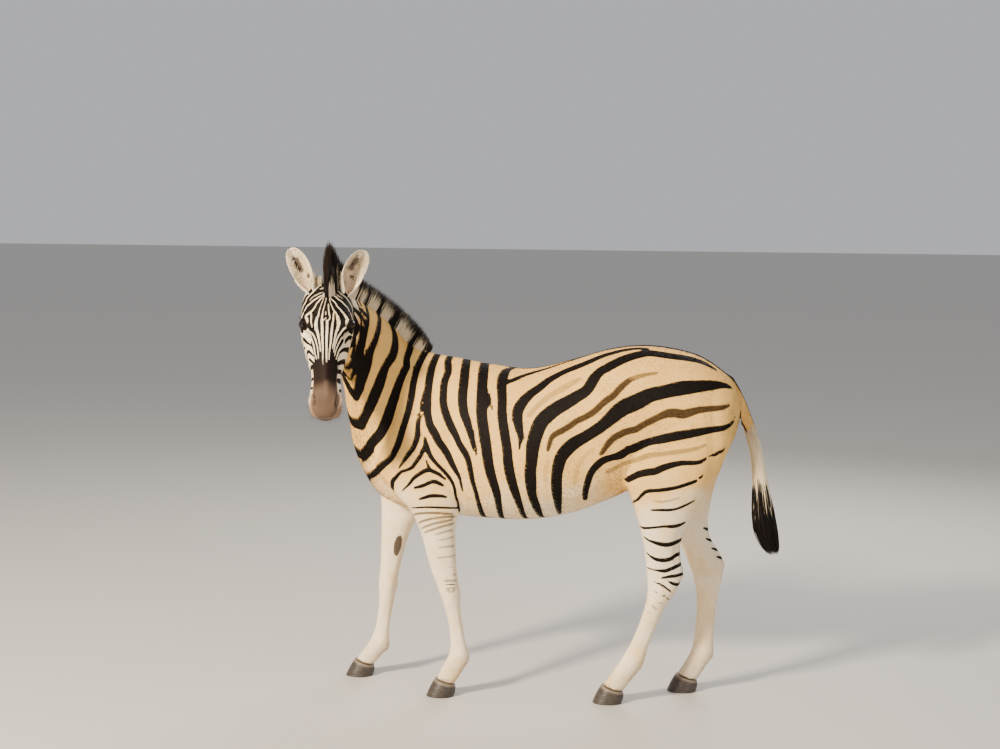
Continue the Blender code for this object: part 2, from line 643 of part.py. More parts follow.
def build():
    clear_scene()
    body = part_legs(whole_body())

    neck, trunk = parted(body, NECK_CUT_POINT, NECK_CUT_NORMAL, "neck")
    wedge = head_wedge()
    head = without_crumbs(combined(neck, wedge, "INTERSECT", "head"))
    neck = cut_away(neck, wedge)
    bpy.data.objects.remove(wedge)

    eyes = [eye_form("eye_left"), eye_form("eye_right")]
    for eye in eyes:
        head = cut_away(head, eye)
    ears = [ear_form("ear_left"), ear_form("ear_right")]
    ears = [cut_away(cut_away(ear, head), neck) for ear in ears]
    mane = mane_form()
    for ear in ears:
        space = hull(ear)
        mane = cut_away(mane, space, EAR_CLEARANCE)
        bpy.data.objects.remove(space)
    for neighbour in (head, neck, trunk):
        mane = cut_away(mane, neighbour, MANE_CLEARANCE)
    tail = cut_away(tail_form("tail", DOCK_STATIONS), trunk)
    brush = tail_form("tail_brush", BRUSH_STATIONS)

    kinds = {"mane": "mane", "tail_brush": "brush"}
    kinds.update({ear.name: "ear" for ear in ears})
    kinds.update({eye.name: "eye" for eye in eyes})
    for leg in LEG_STATIONS:
        hoof = hoof_form(leg)
        kinds[hoof.name] = "hoof"
    for obj in list(bpy.data.objects):
        finish(obj, kinds.get(obj.name, "coat"))


build()
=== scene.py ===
# A young plains zebra at life size, still, with its head turned to its left.
# Metres, +Z up; it faces -X and its left side faces -Y. The tables of stations repeat the solids' own.

import math

import bmesh
import bpy
import numpy as np
from mathutils import Matrix, Vector
from mathutils.bvhtree import BVHTree
from mathutils.kdtree import KDTree


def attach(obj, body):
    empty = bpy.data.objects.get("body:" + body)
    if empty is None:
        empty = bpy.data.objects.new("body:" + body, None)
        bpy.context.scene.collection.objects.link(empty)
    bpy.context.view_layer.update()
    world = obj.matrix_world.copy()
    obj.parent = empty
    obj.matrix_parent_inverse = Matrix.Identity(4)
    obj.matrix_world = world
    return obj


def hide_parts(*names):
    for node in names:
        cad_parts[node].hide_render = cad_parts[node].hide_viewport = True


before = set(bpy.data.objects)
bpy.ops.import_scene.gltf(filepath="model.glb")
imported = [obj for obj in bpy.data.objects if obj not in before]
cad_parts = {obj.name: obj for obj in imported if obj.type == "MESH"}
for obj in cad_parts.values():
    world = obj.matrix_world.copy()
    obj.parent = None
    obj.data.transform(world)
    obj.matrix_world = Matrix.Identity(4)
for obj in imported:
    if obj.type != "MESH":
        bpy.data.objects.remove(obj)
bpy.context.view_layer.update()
random = np.random.default_rng(7)
place = np.array([-0.015, 0.138, 0.0])  # the stations' frame to the solids' frame
print("frame loaded")


# vectors over their own length
def unit(vectors):
    return vectors / np.linalg.norm(vectors, axis=-1)[..., None]


# 0 below low, 1 above high, 3 t^2 - 2 t^3 from one to the other
def fade(value, low, high):
    t = np.clip((value - low) / (high - low), 0, 1)
    return t * t * (3 - 2 * t)


# rows i and i + 1 of a table, mixed by part
def between(table, i, part):
    return table[i] * (1 - part) + table[i + 1] * part


# the forms, as in the solids

headPose = {
    "poll": (-0.72, -0.335, 1.532),
    "yaw": 13.7,  # degrees from -Y towards the rump
    "pitch": 25,  # nose out from straight down
    "roll": 0.9,  # muzzle towards the animal's right
}

# back line x, y, z; keel line x, y, z; half width; level of the widest place; sharpness above and below it
bodyStations = [
    (0.737, 0, 1.128, 0.737, 0, 1.06, 0.05, 0.5, 0.95, 0.95),
    (0.715, 0, 1.186, 0.722, 0, 0.985, 0.108, 0.5, 0.95, 0.95),
    (0.66, 0, 1.238, 0.672, 0, 0.9, 0.16, 0.48, 1, 0.9),
    (0.58, 0, 1.285, 0.58, 0, 0.835, 0.193, 0.48, 1.05, 0.88),
    (0.475, 0, 1.31, 0.47, 0, 0.805, 0.208, 0.5, 1.02, 0.88),
    (0.365, 0, 1.316, 0.365, 0, 0.785, 0.214, 0.52, 0.98, 0.88),
    (0.25, 0, 1.298, 0.262, 0, 0.738, 0.224, 0.48, 0.96, 0.9),
    (0.115, 0, 1.257, 0.12, 0, 0.683, 0.238, 0.45, 0.96, 0.92),
    (-0.03, 0, 1.223, -0.03, 0, 0.656, 0.242, 0.44, 0.97, 0.92),
    (-0.175, 0, 1.234, -0.175, 0, 0.656, 0.232, 0.43, 1.02, 0.93),
    (-0.3, 0, 1.256, -0.325, 0, 0.664, 0.206, 0.42, 1.12, 0.94),
    (-0.4, 0, 1.272, -0.48, 0, 0.681, 0.186, 0.42, 1.22, 0.94),
    (-0.452, 0, 1.288, -0.59, -0.01, 0.728, 0.172, 0.42, 1.22, 0.94),
    (-0.506, -0.004, 1.325, -0.648, -0.035, 0.812, 0.152, 0.42, 1.18, 0.95),
    (-0.56, -0.03, 1.38, -0.652, -0.08, 0.925, 0.13, 0.43, 1.1, 0.95),
    (-0.612, -0.085, 1.433, -0.655, -0.12, 1.04, 0.112, 0.44, 1.06, 0.96),
    (-0.655, -0.16, 1.476, -0.675, -0.15, 1.15, 0.1, 0.45, 1.04, 0.97),
    (-0.685, -0.24, 1.508, -0.71, -0.17, 1.25, 0.09, 0.46, 1.02, 0.98),
    (-0.703, -0.315, 1.526, -0.742, -0.184, 1.335, 0.08, 0.48, 1, 0.98),
    (-0.708, -0.372, 1.5, -0.742, -0.26, 1.36, 0.06, 0.5, 1, 1),
]

# forehead line: along the face, out from it; jaw line: the same; half width; level; sharpness above and below
headStations = [
    (-0.024, -0.036, 0, -0.118, 0.056, 0.62, 0.9, 0.9),
    (0.002, -0.002, 0.034, -0.166, 0.079, 0.62, 0.92, 0.88),
    (0.042, 0.021, 0.066, -0.198, 0.091, 0.63, 0.94, 0.82),
    (0.086, 0.033, 0.1, -0.212, 0.094, 0.66, 0.96, 0.78),
    (0.124, 0.036, 0.136, -0.211, 0.094, 0.72, 0.95, 0.74),
    (0.16, 0.033, 0.174, -0.2, 0.093, 0.72, 0.98, 0.74),
    (0.202, 0.025, 0.214, -0.19, 0.085, 0.66, 0.98, 0.78),
    (0.25, 0.017, 0.258, -0.17, 0.076, 0.58, 0.94, 0.84),
    (0.3, 0.01, 0.302, -0.142, 0.065, 0.54, 0.9, 0.86),
    (0.345, 0.005, 0.345, -0.128, 0.056, 0.54, 0.86, 0.86),
    (0.39, 0.002, 0.39, -0.122, 0.056, 0.56, 0.84, 0.84),
    (0.43, -0.005, 0.428, -0.122, 0.058, 0.58, 0.84, 0.82),
    (0.464, -0.019, 0.458, -0.115, 0.054, 0.56, 0.86, 0.86),
    (0.484, -0.04, 0.476, -0.094, 0.037, 0.5, 0.95, 0.95),
]

# front x, z; back x, z; distance from the middle plane; half width
legStations = {
    "foreLeft": [
        (-0.5, 1.13, -0.35, 1.15, 0.09, 0.04),
        (-0.59, 0.97, -0.3, 1.01, 0.108, 0.064),
        (-0.592, 0.85, -0.258, 0.885, 0.12, 0.074),
        (-0.52, 0.76, -0.25, 0.77, 0.124, 0.072),
        (-0.468, 0.705, -0.27, 0.705, 0.121, 0.065),
        (-0.438, 0.65, -0.286, 0.65, 0.118, 0.057),
        (-0.417, 0.59, -0.289, 0.59, 0.115, 0.051),
        (-0.388, 0.48, -0.283, 0.48, 0.111, 0.042),
        (-0.366, 0.422, -0.277, 0.424, 0.109, 0.039),
        (-0.349, 0.378, -0.27, 0.376, 0.108, 0.04),
        (-0.337, 0.335, -0.268, 0.335, 0.108, 0.035),
        (-0.322, 0.282, -0.262, 0.285, 0.108, 0.027),
        (-0.312, 0.208, -0.249, 0.212, 0.108, 0.027),
        (-0.317, 0.158, -0.235, 0.152, 0.108, 0.034),
        (-0.34, 0.112, -0.256, 0.1, 0.108, 0.031),
        (-0.364, 0.066, -0.29, 0.042, 0.108, 0.038),
    ],
    "foreRight": [
        (-0.51, 1.13, -0.36, 1.15, 0.09, 0.04),
        (-0.605, 0.97, -0.32, 1.01, 0.108, 0.064),
        (-0.628, 0.85, -0.3, 0.885, 0.12, 0.074),
        (-0.63, 0.765, -0.33, 0.745, 0.122, 0.072),
        (-0.622, 0.69, -0.42, 0.66, 0.119, 0.065),
        (-0.619, 0.62, -0.478, 0.61, 0.116, 0.056),
        (-0.619, 0.56, -0.505, 0.555, 0.113, 0.049),
        (-0.621, 0.46, -0.532, 0.455, 0.111, 0.041),
        (-0.625, 0.4, -0.545, 0.395, 0.109, 0.039),
        (-0.627, 0.35, -0.553, 0.345, 0.109, 0.04),
        (-0.626, 0.305, -0.56, 0.303, 0.109, 0.034),
        (-0.631, 0.25, -0.571, 0.246, 0.109, 0.027),
        (-0.644, 0.182, -0.58, 0.172, 0.109, 0.027),
        (-0.66, 0.142, -0.58, 0.12, 0.109, 0.034),
        (-0.688, 0.102, -0.612, 0.078, 0.109, 0.031),
        (-0.716, 0.064, -0.643, 0.038, 0.109, 0.038),
    ],
    "hindLeft": [
        (0.33, 1.19, 0.62, 1.19, 0.08, 0.07),
        (0.3, 1.06, 0.712, 1.09, 0.098, 0.098),
        (0.298, 0.95, 0.71, 0.985, 0.11, 0.104),
        (0.312, 0.865, 0.672, 0.89, 0.115, 0.098),
        (0.34, 0.785, 0.626, 0.8, 0.115, 0.086),
        (0.368, 0.7, 0.584, 0.715, 0.112, 0.07),
        (0.385, 0.64, 0.552, 0.655, 0.109, 0.058),
        (0.397, 0.585, 0.535, 0.6, 0.106, 0.048),
        (0.404, 0.525, 0.536, 0.545, 0.103, 0.04),
        (0.41, 0.468, 0.545, 0.494, 0.1, 0.038),
        (0.413, 0.418, 0.524, 0.428, 0.098, 0.039),
        (0.405, 0.37, 0.489, 0.374, 0.097, 0.035),
        (0.384, 0.302, 0.462, 0.31, 0.096, 0.029),
        (0.352, 0.222, 0.43, 0.226, 0.095, 0.028),
        (0.318, 0.16, 0.408, 0.152, 0.095, 0.036),
        (0.284, 0.108, 0.371, 0.094, 0.095, 0.033),
        (0.254, 0.066, 0.334, 0.04, 0.095, 0.039),
    ],
    "hindRight": [
        (0.33, 1.19, 0.62, 1.19, 0.08, 0.07),
        (0.3, 1.06, 0.712, 1.09, 0.098, 0.098),
        (0.305, 0.95, 0.716, 0.985, 0.11, 0.104),
        (0.335, 0.86, 0.69, 0.885, 0.115, 0.098),
        (0.378, 0.775, 0.658, 0.79, 0.115, 0.086),
        (0.428, 0.69, 0.64, 0.7, 0.112, 0.07),
        (0.472, 0.63, 0.634, 0.64, 0.109, 0.058),
        (0.508, 0.58, 0.645, 0.588, 0.106, 0.048),
        (0.54, 0.53, 0.672, 0.545, 0.103, 0.04),
        (0.562, 0.48, 0.694, 0.5, 0.1, 0.038),
        (0.58, 0.43, 0.692, 0.44, 0.099, 0.039),
        (0.59, 0.38, 0.68, 0.385, 0.099, 0.035),
        (0.592, 0.305, 0.67, 0.308, 0.099, 0.029),
        (0.587, 0.222, 0.665, 0.226, 0.099, 0.028),
        (0.576, 0.16, 0.664, 0.15, 0.099, 0.036),
        (0.55, 0.108, 0.636, 0.094, 0.099, 0.033),
        (0.524, 0.066, 0.604, 0.04, 0.099, 0.039),
    ],
}

# mane: foot x, y, z; tip x, y, z; half width at the foot; forelock first
maneStations = [
    (-0.709, -0.4, 1.484, -0.712, -0.412, 1.53, 0.008),
    (-0.709, -0.385, 1.492, -0.711, -0.397, 1.61, 0.018),
    (-0.708, -0.362, 1.5, -0.706, -0.37, 1.68, 0.024),
    (-0.702, -0.322, 1.504, -0.69, -0.308, 1.632, 0.027),
    (-0.688, -0.255, 1.492, -0.656, -0.232, 1.592, 0.028),
    (-0.658, -0.178, 1.46, -0.622, -0.14, 1.552, 0.028),
    (-0.616, -0.104, 1.418, -0.572, -0.066, 1.507, 0.027),
    (-0.566, -0.046, 1.364, -0.516, -0.014, 1.456, 0.026),
    (-0.518, -0.012, 1.312, -0.462, 0.002, 1.402, 0.024),
    (-0.47, 0, 1.276, -0.425, 0.002, 1.352, 0.02),
    (-0.428, 0, 1.258, -0.402, 0, 1.3, 0.012),
]

# tail: upper edge x, z; lower edge x, z; half width
dockStations = [
    (0.66, 1.225, 0.655, 1.15, 0.03),
    (0.706, 1.208, 0.69, 1.14, 0.03),
    (0.752, 1.132, 0.712, 1.085, 0.027),
    (0.79, 1.04, 0.748, 1.012, 0.023),
    (0.816, 0.955, 0.777, 0.942, 0.02),
    (0.832, 0.87, 0.79, 0.866, 0.02),
    (0.846, 0.8, 0.79, 0.8, 0.022),
]


# Catmull-Rom curves through the stations, "steps" rows to each span
def smoothRows(stations, steps):
    rows = np.array(stations)
    padded = np.vstack([2 * rows[0] - rows[1], rows, 2 * rows[-1] - rows[-2]])
    t = (np.arange(steps) / steps)[None, :, None]
    a, b, c, d = (padded[i : i + len(rows) - 1, None] for i in range(4))
    curve = 0.5 * (2 * b + (c - a) * t + (2 * a - 5 * b + 4 * c - d) * t**2 + (3 * b - a - 3 * c + d) * t**3)
    return np.vstack([curve.reshape(-1, rows.shape[1]), rows[-1]])


# rings that touch both guide lines: middle + reach * cos(turn) + aside * sin(turn) ** sharpness
def ringsBetween(upper, lower, half, level, sharpUp, sharpDown, sides):
    middle = lower + (upper - lower) * level[:, None]
    along = np.gradient(middle, axis=0)
    aside = unit(np.cross(along, upper - lower))
    turn = 2 * math.pi * np.arange(sides) / sides
    cosine, sine = np.cos(turn), np.sin(turn)
    sharp = np.where(cosine[None, :] >= 0, sharpUp[:, None], sharpDown[:, None])
    reach = np.where(cosine[None, :, None] >= 0, (upper - middle)[:, None], (middle - lower)[:, None])
    out = np.sign(sine)[None, :] * np.abs(sine)[None, :] ** sharp * half[:, None]
    return middle[:, None] + reach * cosine[None, :, None] + aside[:, None] * out[:, :, None]


# the head's directions: its left, along the face to the muzzle, and out from the face
def headAxes():
    yaw, pitch = math.radians(headPose["yaw"]), math.radians(headPose["pitch"])
    facing = Vector((math.sin(yaw), -math.cos(yaw), 0))
    left = Vector((0, 0, 1)).cross(facing)
    along = facing * math.sin(pitch) - Vector((0, 0, 1)) * math.cos(pitch)
    out = along.cross(left)
    turn = Matrix.Rotation(-math.radians(headPose["roll"]), 3, facing)
    return np.array([turn @ left, turn @ along, turn @ out])


headFrame = headAxes()
pollPoint = np.array(headPose["poll"])


# head places (aside, along, out) to the stations' frame: poll + places * the head's directions
def fromHead(points):
    return pollPoint + np.asarray(points, float) @ headFrame


# and back: (points - poll) * the same directions turned round
def toHead(points):
    return (points - pollPoint) @ headFrame.T


bodySteps, headSteps, legSteps, tailSteps = 12, 8, 8, 8  # rows to each span of stations


# trunk and neck: rings from back line to keel line
def bodyGrid(sides=96):
    rows = smoothRows(bodyStations, bodySteps)
    return ringsBetween(rows[:, 0:3], rows[:, 3:6], *rows[:, 6:10].T, sides)


# head: rings from forehead line to jaw line, worked out in the head
def headGrid(sides=96):
    rows = smoothRows(headStations, headSteps)
    zeros = np.zeros(len(rows))
    upper = np.column_stack([zeros, rows[:, 0], rows[:, 1]])
    lower = np.column_stack([zeros, rows[:, 2], rows[:, 3]])
    return fromHead(ringsBetween(upper, lower, *rows[:, 4:8].T, sides))


# leg: rings from front line to back line, so far from the middle plane
def legGrid(leg, sides=64):
    rows = smoothRows(legStations[leg], legSteps)
    aside = rows[:, 4] * (-1 if leg.endswith("Left") else 1)
    front = np.column_stack([rows[:, 0], aside, rows[:, 1]])
    back = np.column_stack([rows[:, 2], aside, rows[:, 3]])
    level, sharp = np.full(len(rows), 0.5), np.full(len(rows), 0.92)
    return ringsBetween(front, back, rows[:, 5], level, sharp, sharp, sides)


# tail or brush: rings from upper edge to lower edge, in the middle plane
def tailGrid(stations=dockStations, sides=40):
    rows = smoothRows(stations, tailSteps)
    zeros = np.zeros(len(rows))
    upper = np.column_stack([rows[:, 0], zeros, rows[:, 1]])
    lower = np.column_stack([rows[:, 2], zeros, rows[:, 3]])
    level, sharp = zeros + 0.5, zeros + 1
    return ringsBetween(upper, lower, rows[:, 4], level, sharp, sharp, sides)


# meshes from arrays

# faces between the rings of a grid: corners (i, j), (i, j + 1), (i + 1, j + 1), (i + 1, j)
def gridFaces(rows, sides, first=0, wrap=True):
    i, j = np.meshgrid(np.arange(rows - 1), np.arange(sides if wrap else sides - 1), indexing="ij")
    k = (j + 1) % sides
    quads = np.stack([i * sides + j, i * sides + k, (i + 1) * sides + k, (i + 1) * sides + j], -1)
    return quads.reshape(-1, 4) + first


# a fan over each end: the first and last ring to the two points after the grid
def capFaces(rows, sides, first=0):
    j = np.arange(sides)
    k = (j + 1) % sides
    low, high, last = rows * sides, rows * sides + 1, (rows - 1) * sides
    bottom = np.column_stack([np.full(sides, low), k, j])
    top = np.column_stack([np.full(sides, high), last + j, last + k])
    return np.vstack([bottom, top]) + first


# a mesh object from points and any arrays of faces
def meshObject(name, points, *faceArrays, smooth=True, uv=None, attributes=None):
    mesh = bpy.data.meshes.new(name)
    points = np.asarray(points, np.float32).reshape(-1, 3)
    corners = np.concatenate([np.asarray(faces, np.int32).ravel() for faces in faceArrays])
    sizes = np.concatenate([np.full(len(faces), faces.shape[1]) for faces in faceArrays])
    mesh.vertices.add(len(points))
    mesh.vertices.foreach_set("co", points.ravel())
    mesh.loops.add(len(corners))
    mesh.loops.foreach_set("vertex_index", corners)
    mesh.polygons.add(len(sizes))
    starts = np.concatenate([[0], np.cumsum(sizes)[:-1]]).astype(np.int32)
    mesh.polygons.foreach_set("loop_start", starts)
    mesh.update(calc_edges=True)
    mesh.polygons.foreach_set("use_smooth", np.full(len(sizes), smooth))
    if uv is not None:
        layer = mesh.uv_layers.new(name=uv[0])
        layer.data.foreach_set("uv", np.asarray(uv[1], np.float32).ravel())
    for key, values in (attributes or {}).items():
        addAttribute(mesh, key, values)
    obj = bpy.data.objects.new(name, mesh)
    bpy.context.scene.collection.objects.link(obj)
    return obj


# one value at each point
def addAttribute(mesh, name, values):
    layer = mesh.attributes.new(name, "FLOAT", "POINT")
    layer.data.foreach_set("value", np.asarray(values, np.float32).ravel())


# points and faces of a closed loft: its rings and a middle point at each end
def closedGrid(grid, first=0):
    rows, sides = grid.shape[:2]
    points = np.vstack([grid.reshape(-1, 3), grid[0].mean(0), grid[-1].mean(0)])
    return points, gridFaces(rows, sides, first)[:, ::-1], capFaces(rows, sides, first)[:, ::-1]


# several closed lofts as one mesh
def joinedShells(name, grids):
    points, quads, fans, first = [], [], [], 0
    for grid in grids:
        p, q, f = closedGrid(grid, first)
        points.append(p), quads.append(q), fans.append(f)
        first += len(p)
    return meshObject(name, np.vstack(points), np.vstack(quads), np.vstack(fans))


# the object's mesh as its modifiers leave it, in a new object
def applied(obj, name):
    graph = bpy.context.evaluated_depsgraph_get()
    mesh = bpy.data.meshes.new_from_object(obj.evaluated_get(graph))
    made = bpy.data.objects.new(name, mesh)
    bpy.context.scene.collection.objects.link(made)
    return made


# helpers taken away again
def dropped(*objects):
    for obj in objects:
        bpy.data.objects.remove(obj)


# the vector "key" of each item as rows of x, y, z
def vectorsOf(items, key):
    values = np.empty(len(items) * 3, np.float32)
    items.foreach_get(key, values)
    return values.reshape(-1, 3).astype(float)


# the mesh's points as rows of x, y, z
def pointsOf(mesh):
    return vectorsOf(mesh.vertices, "co")


# the mesh's points moved to these rows
def setPoints(mesh, points):
    mesh.vertices.foreach_set("co", np.asarray(points, np.float32).ravel())
    mesh.update()


# the values of one attribute
def valuesOf(mesh, name):
    values = np.empty(len(mesh.vertices), np.float32)
    mesh.attributes[name].data.foreach_get("value", values)
    return values.astype(float)


# faces turned outwards
def turnedOut(obj):
    maker = bmesh.new()
    maker.from_mesh(obj.data)
    bmesh.ops.recalc_face_normals(maker, faces=maker.faces)
    maker.to_mesh(obj.data)
    maker.free()


# skin

skinSizes = {
    "fineCell": 0.0036,  # the smooth target
    "coarseCell": 0.0131,  # the skin's own faces on the trunk
    "coatDepth": 0.0035,  # skin under the solids' surface
    "seamSmoothing": 12,
}

# swellings and hollows of the head: place (aside, along, out), reach, push, all in the head
headForms = [
    ((0.086, 0.132, 0.024), (0.022, 0.03, 0.016), (0.013, 0, 0.006)),  # brow
    ((0.08, 0.196, -0.018), (0.02, 0.034, 0.014), (0.007, 0, 0)),  # cheek bone
    ((0.076, 0.15, -0.12), (0.03, 0.06, 0.05), (0.01, 0, 0)),  # jaw muscle
    ((0.06, 0.3, -0.06), (0.03, 0.06, 0.03), (-0.006, 0, 0)),  # hollow cheek
    ((0.052, 0.428, -0.034), (0.016, 0.03, 0.016), (0.006, 0, 0.002)),  # nostril wing
    ((0.034, 0.436, -0.014), (0.012, 0.024, 0.012), (0, 0, 0.004)),  # its inner rim
    ((0.043, 0.42, -0.019), (0.005, 0.014, 0.007), (-0.008, 0, -0.009)),  # nostril
    ((0.039, 0.438, -0.021), (0.0055, 0.012, 0.007), (-0.008, 0, -0.009)),
    ((0, 0.33, 0.008), (0.016, 0.09, 0.02), (0, 0, 0.003)),  # nasal bones
    ((0.034, 0.35, -0.01), (0.012, 0.05, 0.014), (-0.003, 0, -0.003)),  # beside them
    ((0.05, 0.455, -0.08), (0.03, 0.026, 0.004), (-0.006, -0.006, 0)),  # mouth line
    ((0, 0.452, -0.108), (0.03, 0.026, 0.016), (0, 0.004, -0.008)),  # chin
]

eye = {
    "place": (0.0762, 0.157, 0.004),  # in the head, left side
    "radius": 0.0205,
    "opening": (0.018, 0.012),  # half length and half height
    "lid": 0.0018,
    "tilt": 30.0,
}


# the eye's centre, gaze, long axis towards its inner corner and rise towards the upper lid
def eyeAxes(side):
    centre = np.array(eye["place"]) * (side, 1, 1)
    gaze = np.array([0.90 * side, 0.06, 0.43])
    gaze /= np.linalg.norm(gaze)
    length = np.array([0.0, 1.0, 0.0]) - gaze * gaze[1]
    length /= np.linalg.norm(length)
    rise = np.cross(gaze, length) * side
    tilt = math.radians(eye["tilt"])
    cosine, sine = math.cos(tilt), math.sin(tilt)
    return centre, gaze, length * cosine + rise * sine, rise * cosine - length * sine


# how far out from the middle of the eye's opening, 1 at its edge
def openingRatio(offset, length, rise, tall=eye["opening"][1]):
    return np.sqrt((offset @ length / eye["opening"][0]) ** 2 + (offset @ rise / tall) ** 2)


# openingRatio at places in the head, and how far they lie out along the gaze
def eyeOpening(near, side):
    centre, gaze, length, rise = eyeAxes(side)
    offset = near - centre
    return openingRatio(offset, length, rise), offset @ gaze


# distance to the nearer eye
def eyeDistance(points):
    eyes = fromHead([(eye["place"][0] * side, *eye["place"][1:]) for side in (1, -1)])
    return np.minimum(*(np.linalg.norm(points - spot, axis=1) for spot in eyes))


# places of the head within a box: from its back on, so wide, between low and high
def headMask(near, back=-0.02, wide=0.16, low=-0.26, high=0.12):
    return (near[:, 1] > back) & (np.abs(near[:, 0]) < wide) & (near[:, 2] > low) & (near[:, 2] < high)


# the chosen faces split into four
def refined(obj, chosen):
    maker = bmesh.new()
    maker.from_mesh(obj.data)
    maker.faces.ensure_lookup_table()
    edges = {edge for i in np.flatnonzero(chosen) for edge in maker.faces[i].edges}
    bmesh.ops.subdivide_edges(maker, edges=list(edges), cuts=1, use_grid_fill=True)
    maker.to_mesh(obj.data)
    maker.free()


# one closed skin over overlapping shells, by cells of one size, then smoothed
def remeshed(obj, cell, smoothing, name):
    step = obj.modifiers.new("cells", "REMESH")
    step.mode = "VOXEL"
    step.voxel_size = cell
    soft = obj.modifiers.new("soft", "SMOOTH")
    soft.factor = 0.5
    soft.iterations = smoothing
    made = applied(obj, name)
    obj.modifiers.clear()
    return made


# how far the tail is moved to the rear, by height
def tailGap(height):
    return 0.035 * (1 - fade(height, 1.02, 1.13)) * fade(height, 0.70, 0.76)


# larger faces, split where the form is fine, laid on a finely remeshed target
def makeSkin():
    legs = [legGrid(leg) for leg in legStations]
    shells = joinedShells("shells", [bodyGrid(), headGrid(), tailGrid()] + legs)
    fine = remeshed(shells, skinSizes["fineCell"], skinSizes["seamSmoothing"], "fine")
    # the tail stands clear of the rump while the larger faces are made, or they would bridge the gap
    dock = tailGrid()
    dock[..., 0] += tailGap(dock[..., 2])
    apart = joinedShells("apart", [bodyGrid(), headGrid(), dock] + legs)
    skin = remeshed(apart, skinSizes["coarseCell"], 2, "skin")
    points = pointsOf(skin.data)
    points[:, 0] -= tailGap(points[:, 2]) * fade(points[:, 0], 0.722, 0.765)
    setPoints(skin.data, points)
    for level in range(4):
        centres = vectorsOf(skin.data.polygons, "center")
        near = toHead(centres)
        x, y, z = centres.T
        inHead = headMask(near, -0.05, 0.12, -0.235, 0.1)
        face = inHead & (near[:, 1] > 0.0) & (near[:, 2] > -0.075)
        lids = eyeDistance(centres) < 0.027
        shin = (z > 0.42) & (z < 0.84) & (x > 0.2)
        arm = (z > 0.52) & (z < 0.98) & (np.abs(x + 0.41) < 0.18) & (np.abs(y) > 0.1)
        brow = inHead & (near[:, 1] > 0.02) & (near[:, 1] < 0.25) & (near[:, 2] > -0.006)
        refined(skin, (inHead | shin | arm, face, brow, lids)[level])  # finer from level to level
    wrap = skin.modifiers.new("wrap", "SHRINKWRAP")
    wrap.target = fine
    wrap.wrap_method = "NEAREST_SURFACEPOINT"
    soft = skin.modifiers.new("soft", "SMOOTH")
    soft.factor = 0.4
    soft.iterations = 2
    made = applied(skin, "zebraSkin")
    dropped(shells, apart, fine, skin)
    made.data.shade_smooth()
    return made


# bones and grooves of the legs: kind, station, turn, reach along and across in m, push out in m
legForms = [
    ("fore", 2.2, 0.92, 0.035, 0.03, 0.006),
    ("fore", 3.4, 0.3, 0.06, 0.035, 0.004),
    ("fore", 8.7, 0.22, 0.02, 0.02, 0.003),
    ("fore", 8.7, 0.6, 0.018, 0.016, 0.003),
    ("fore", 8.7, 1, 0.018, 0.014, 0.005),
    ("fore", 7, 0.62, 0.05, 0.01, -0.0025),
    ("fore", 11.2, 0.58, 0.05, 0.007, -0.0035),
    ("fore", 12.8, 0.55, 0.014, 0.014, 0.003),
    ("fore", 13.2, 1, 0.012, 0.012, 0.004),
    ("fore", 14.2, 0.6, 0.014, 0.012, -0.002),
    ("hind", 6, 0.6, 0.05, 0.03, 0.004),
    ("hind", 7.8, 0.78, 0.05, 0.012, -0.0045),
    ("hind", 9.2, 1, 0.018, 0.012, 0.004),
    ("hind", 9.8, 0.45, 0.02, 0.02, 0.003),
    ("hind", 10.2, 0.1, 0.02, 0.016, 0.002),
    ("hind", 12.4, 0.58, 0.05, 0.007, -0.0035),
    ("hind", 13.8, 0.55, 0.014, 0.014, 0.003),
    ("hind", 14.2, 1, 0.012, 0.012, 0.004),
    ("hind", 15.2, 0.6, 0.014, 0.012, -0.002),
]

skin = makeSkin()
print("skin", len(skin.data.vertices), "points", sum(len(f.vertices) - 2 for f in skin.data.polygons), "triangles")


# swellings: points move by push * exp(-|offset / reach|^2), the same on both sides
def pushed(points, forms, mirrored):
    moved = points.copy()
    for spot, reach, push in forms:
        for mirror in (np.ones(3), np.array(mirrored)):
            amount = np.exp(-(((points - np.array(spot) * mirror) / reach) ** 2).sum(-1))
            moved += amount[:, None] * np.array(push) * mirror
    return moved


# lids: inside the opening the skin lies under the eyeball, round it on a slightly larger sphere, then it runs out
def liddedHead(near):
    for side in (1, -1):
        centre, gaze, length, rise = eyeAxes(side)
        offset = near - centre
        u, v, depth = offset @ length, offset @ rise, offset @ gaze
        tall = np.where(v > 0, eye["opening"][1] * 1.1, eye["opening"][1] * 0.9)
        ratio = openingRatio(offset, length, rise, tall)
        close = (depth > -0.034) & (ratio < 2.6)
        radius = np.where(ratio < 1, eye["radius"] - 0.0025, eye["radius"] + eye["lid"])
        flat = np.sqrt(u**2 + v**2)
        onBall = np.sqrt(np.maximum(radius**2 - np.minimum(flat, radius * 0.985) ** 2, 0))
        crease = -0.0020 * np.exp(-(((ratio - 1.55) / 0.13) ** 2)) * fade(v, -0.004, 0.006)
        crease -= 0.0010 * np.exp(-(((ratio - 1.50) / 0.10) ** 2)) * fade(-v, 0.0, 0.006)
        hold = (1 - fade(ratio, 1.25, 2.5)) * fade(depth, -0.034, -0.016)
        target = depth * (1 - hold) + onBall * hold + crease
        near = np.where(close[:, None], near + gaze * (target - depth)[:, None], near)
    return near


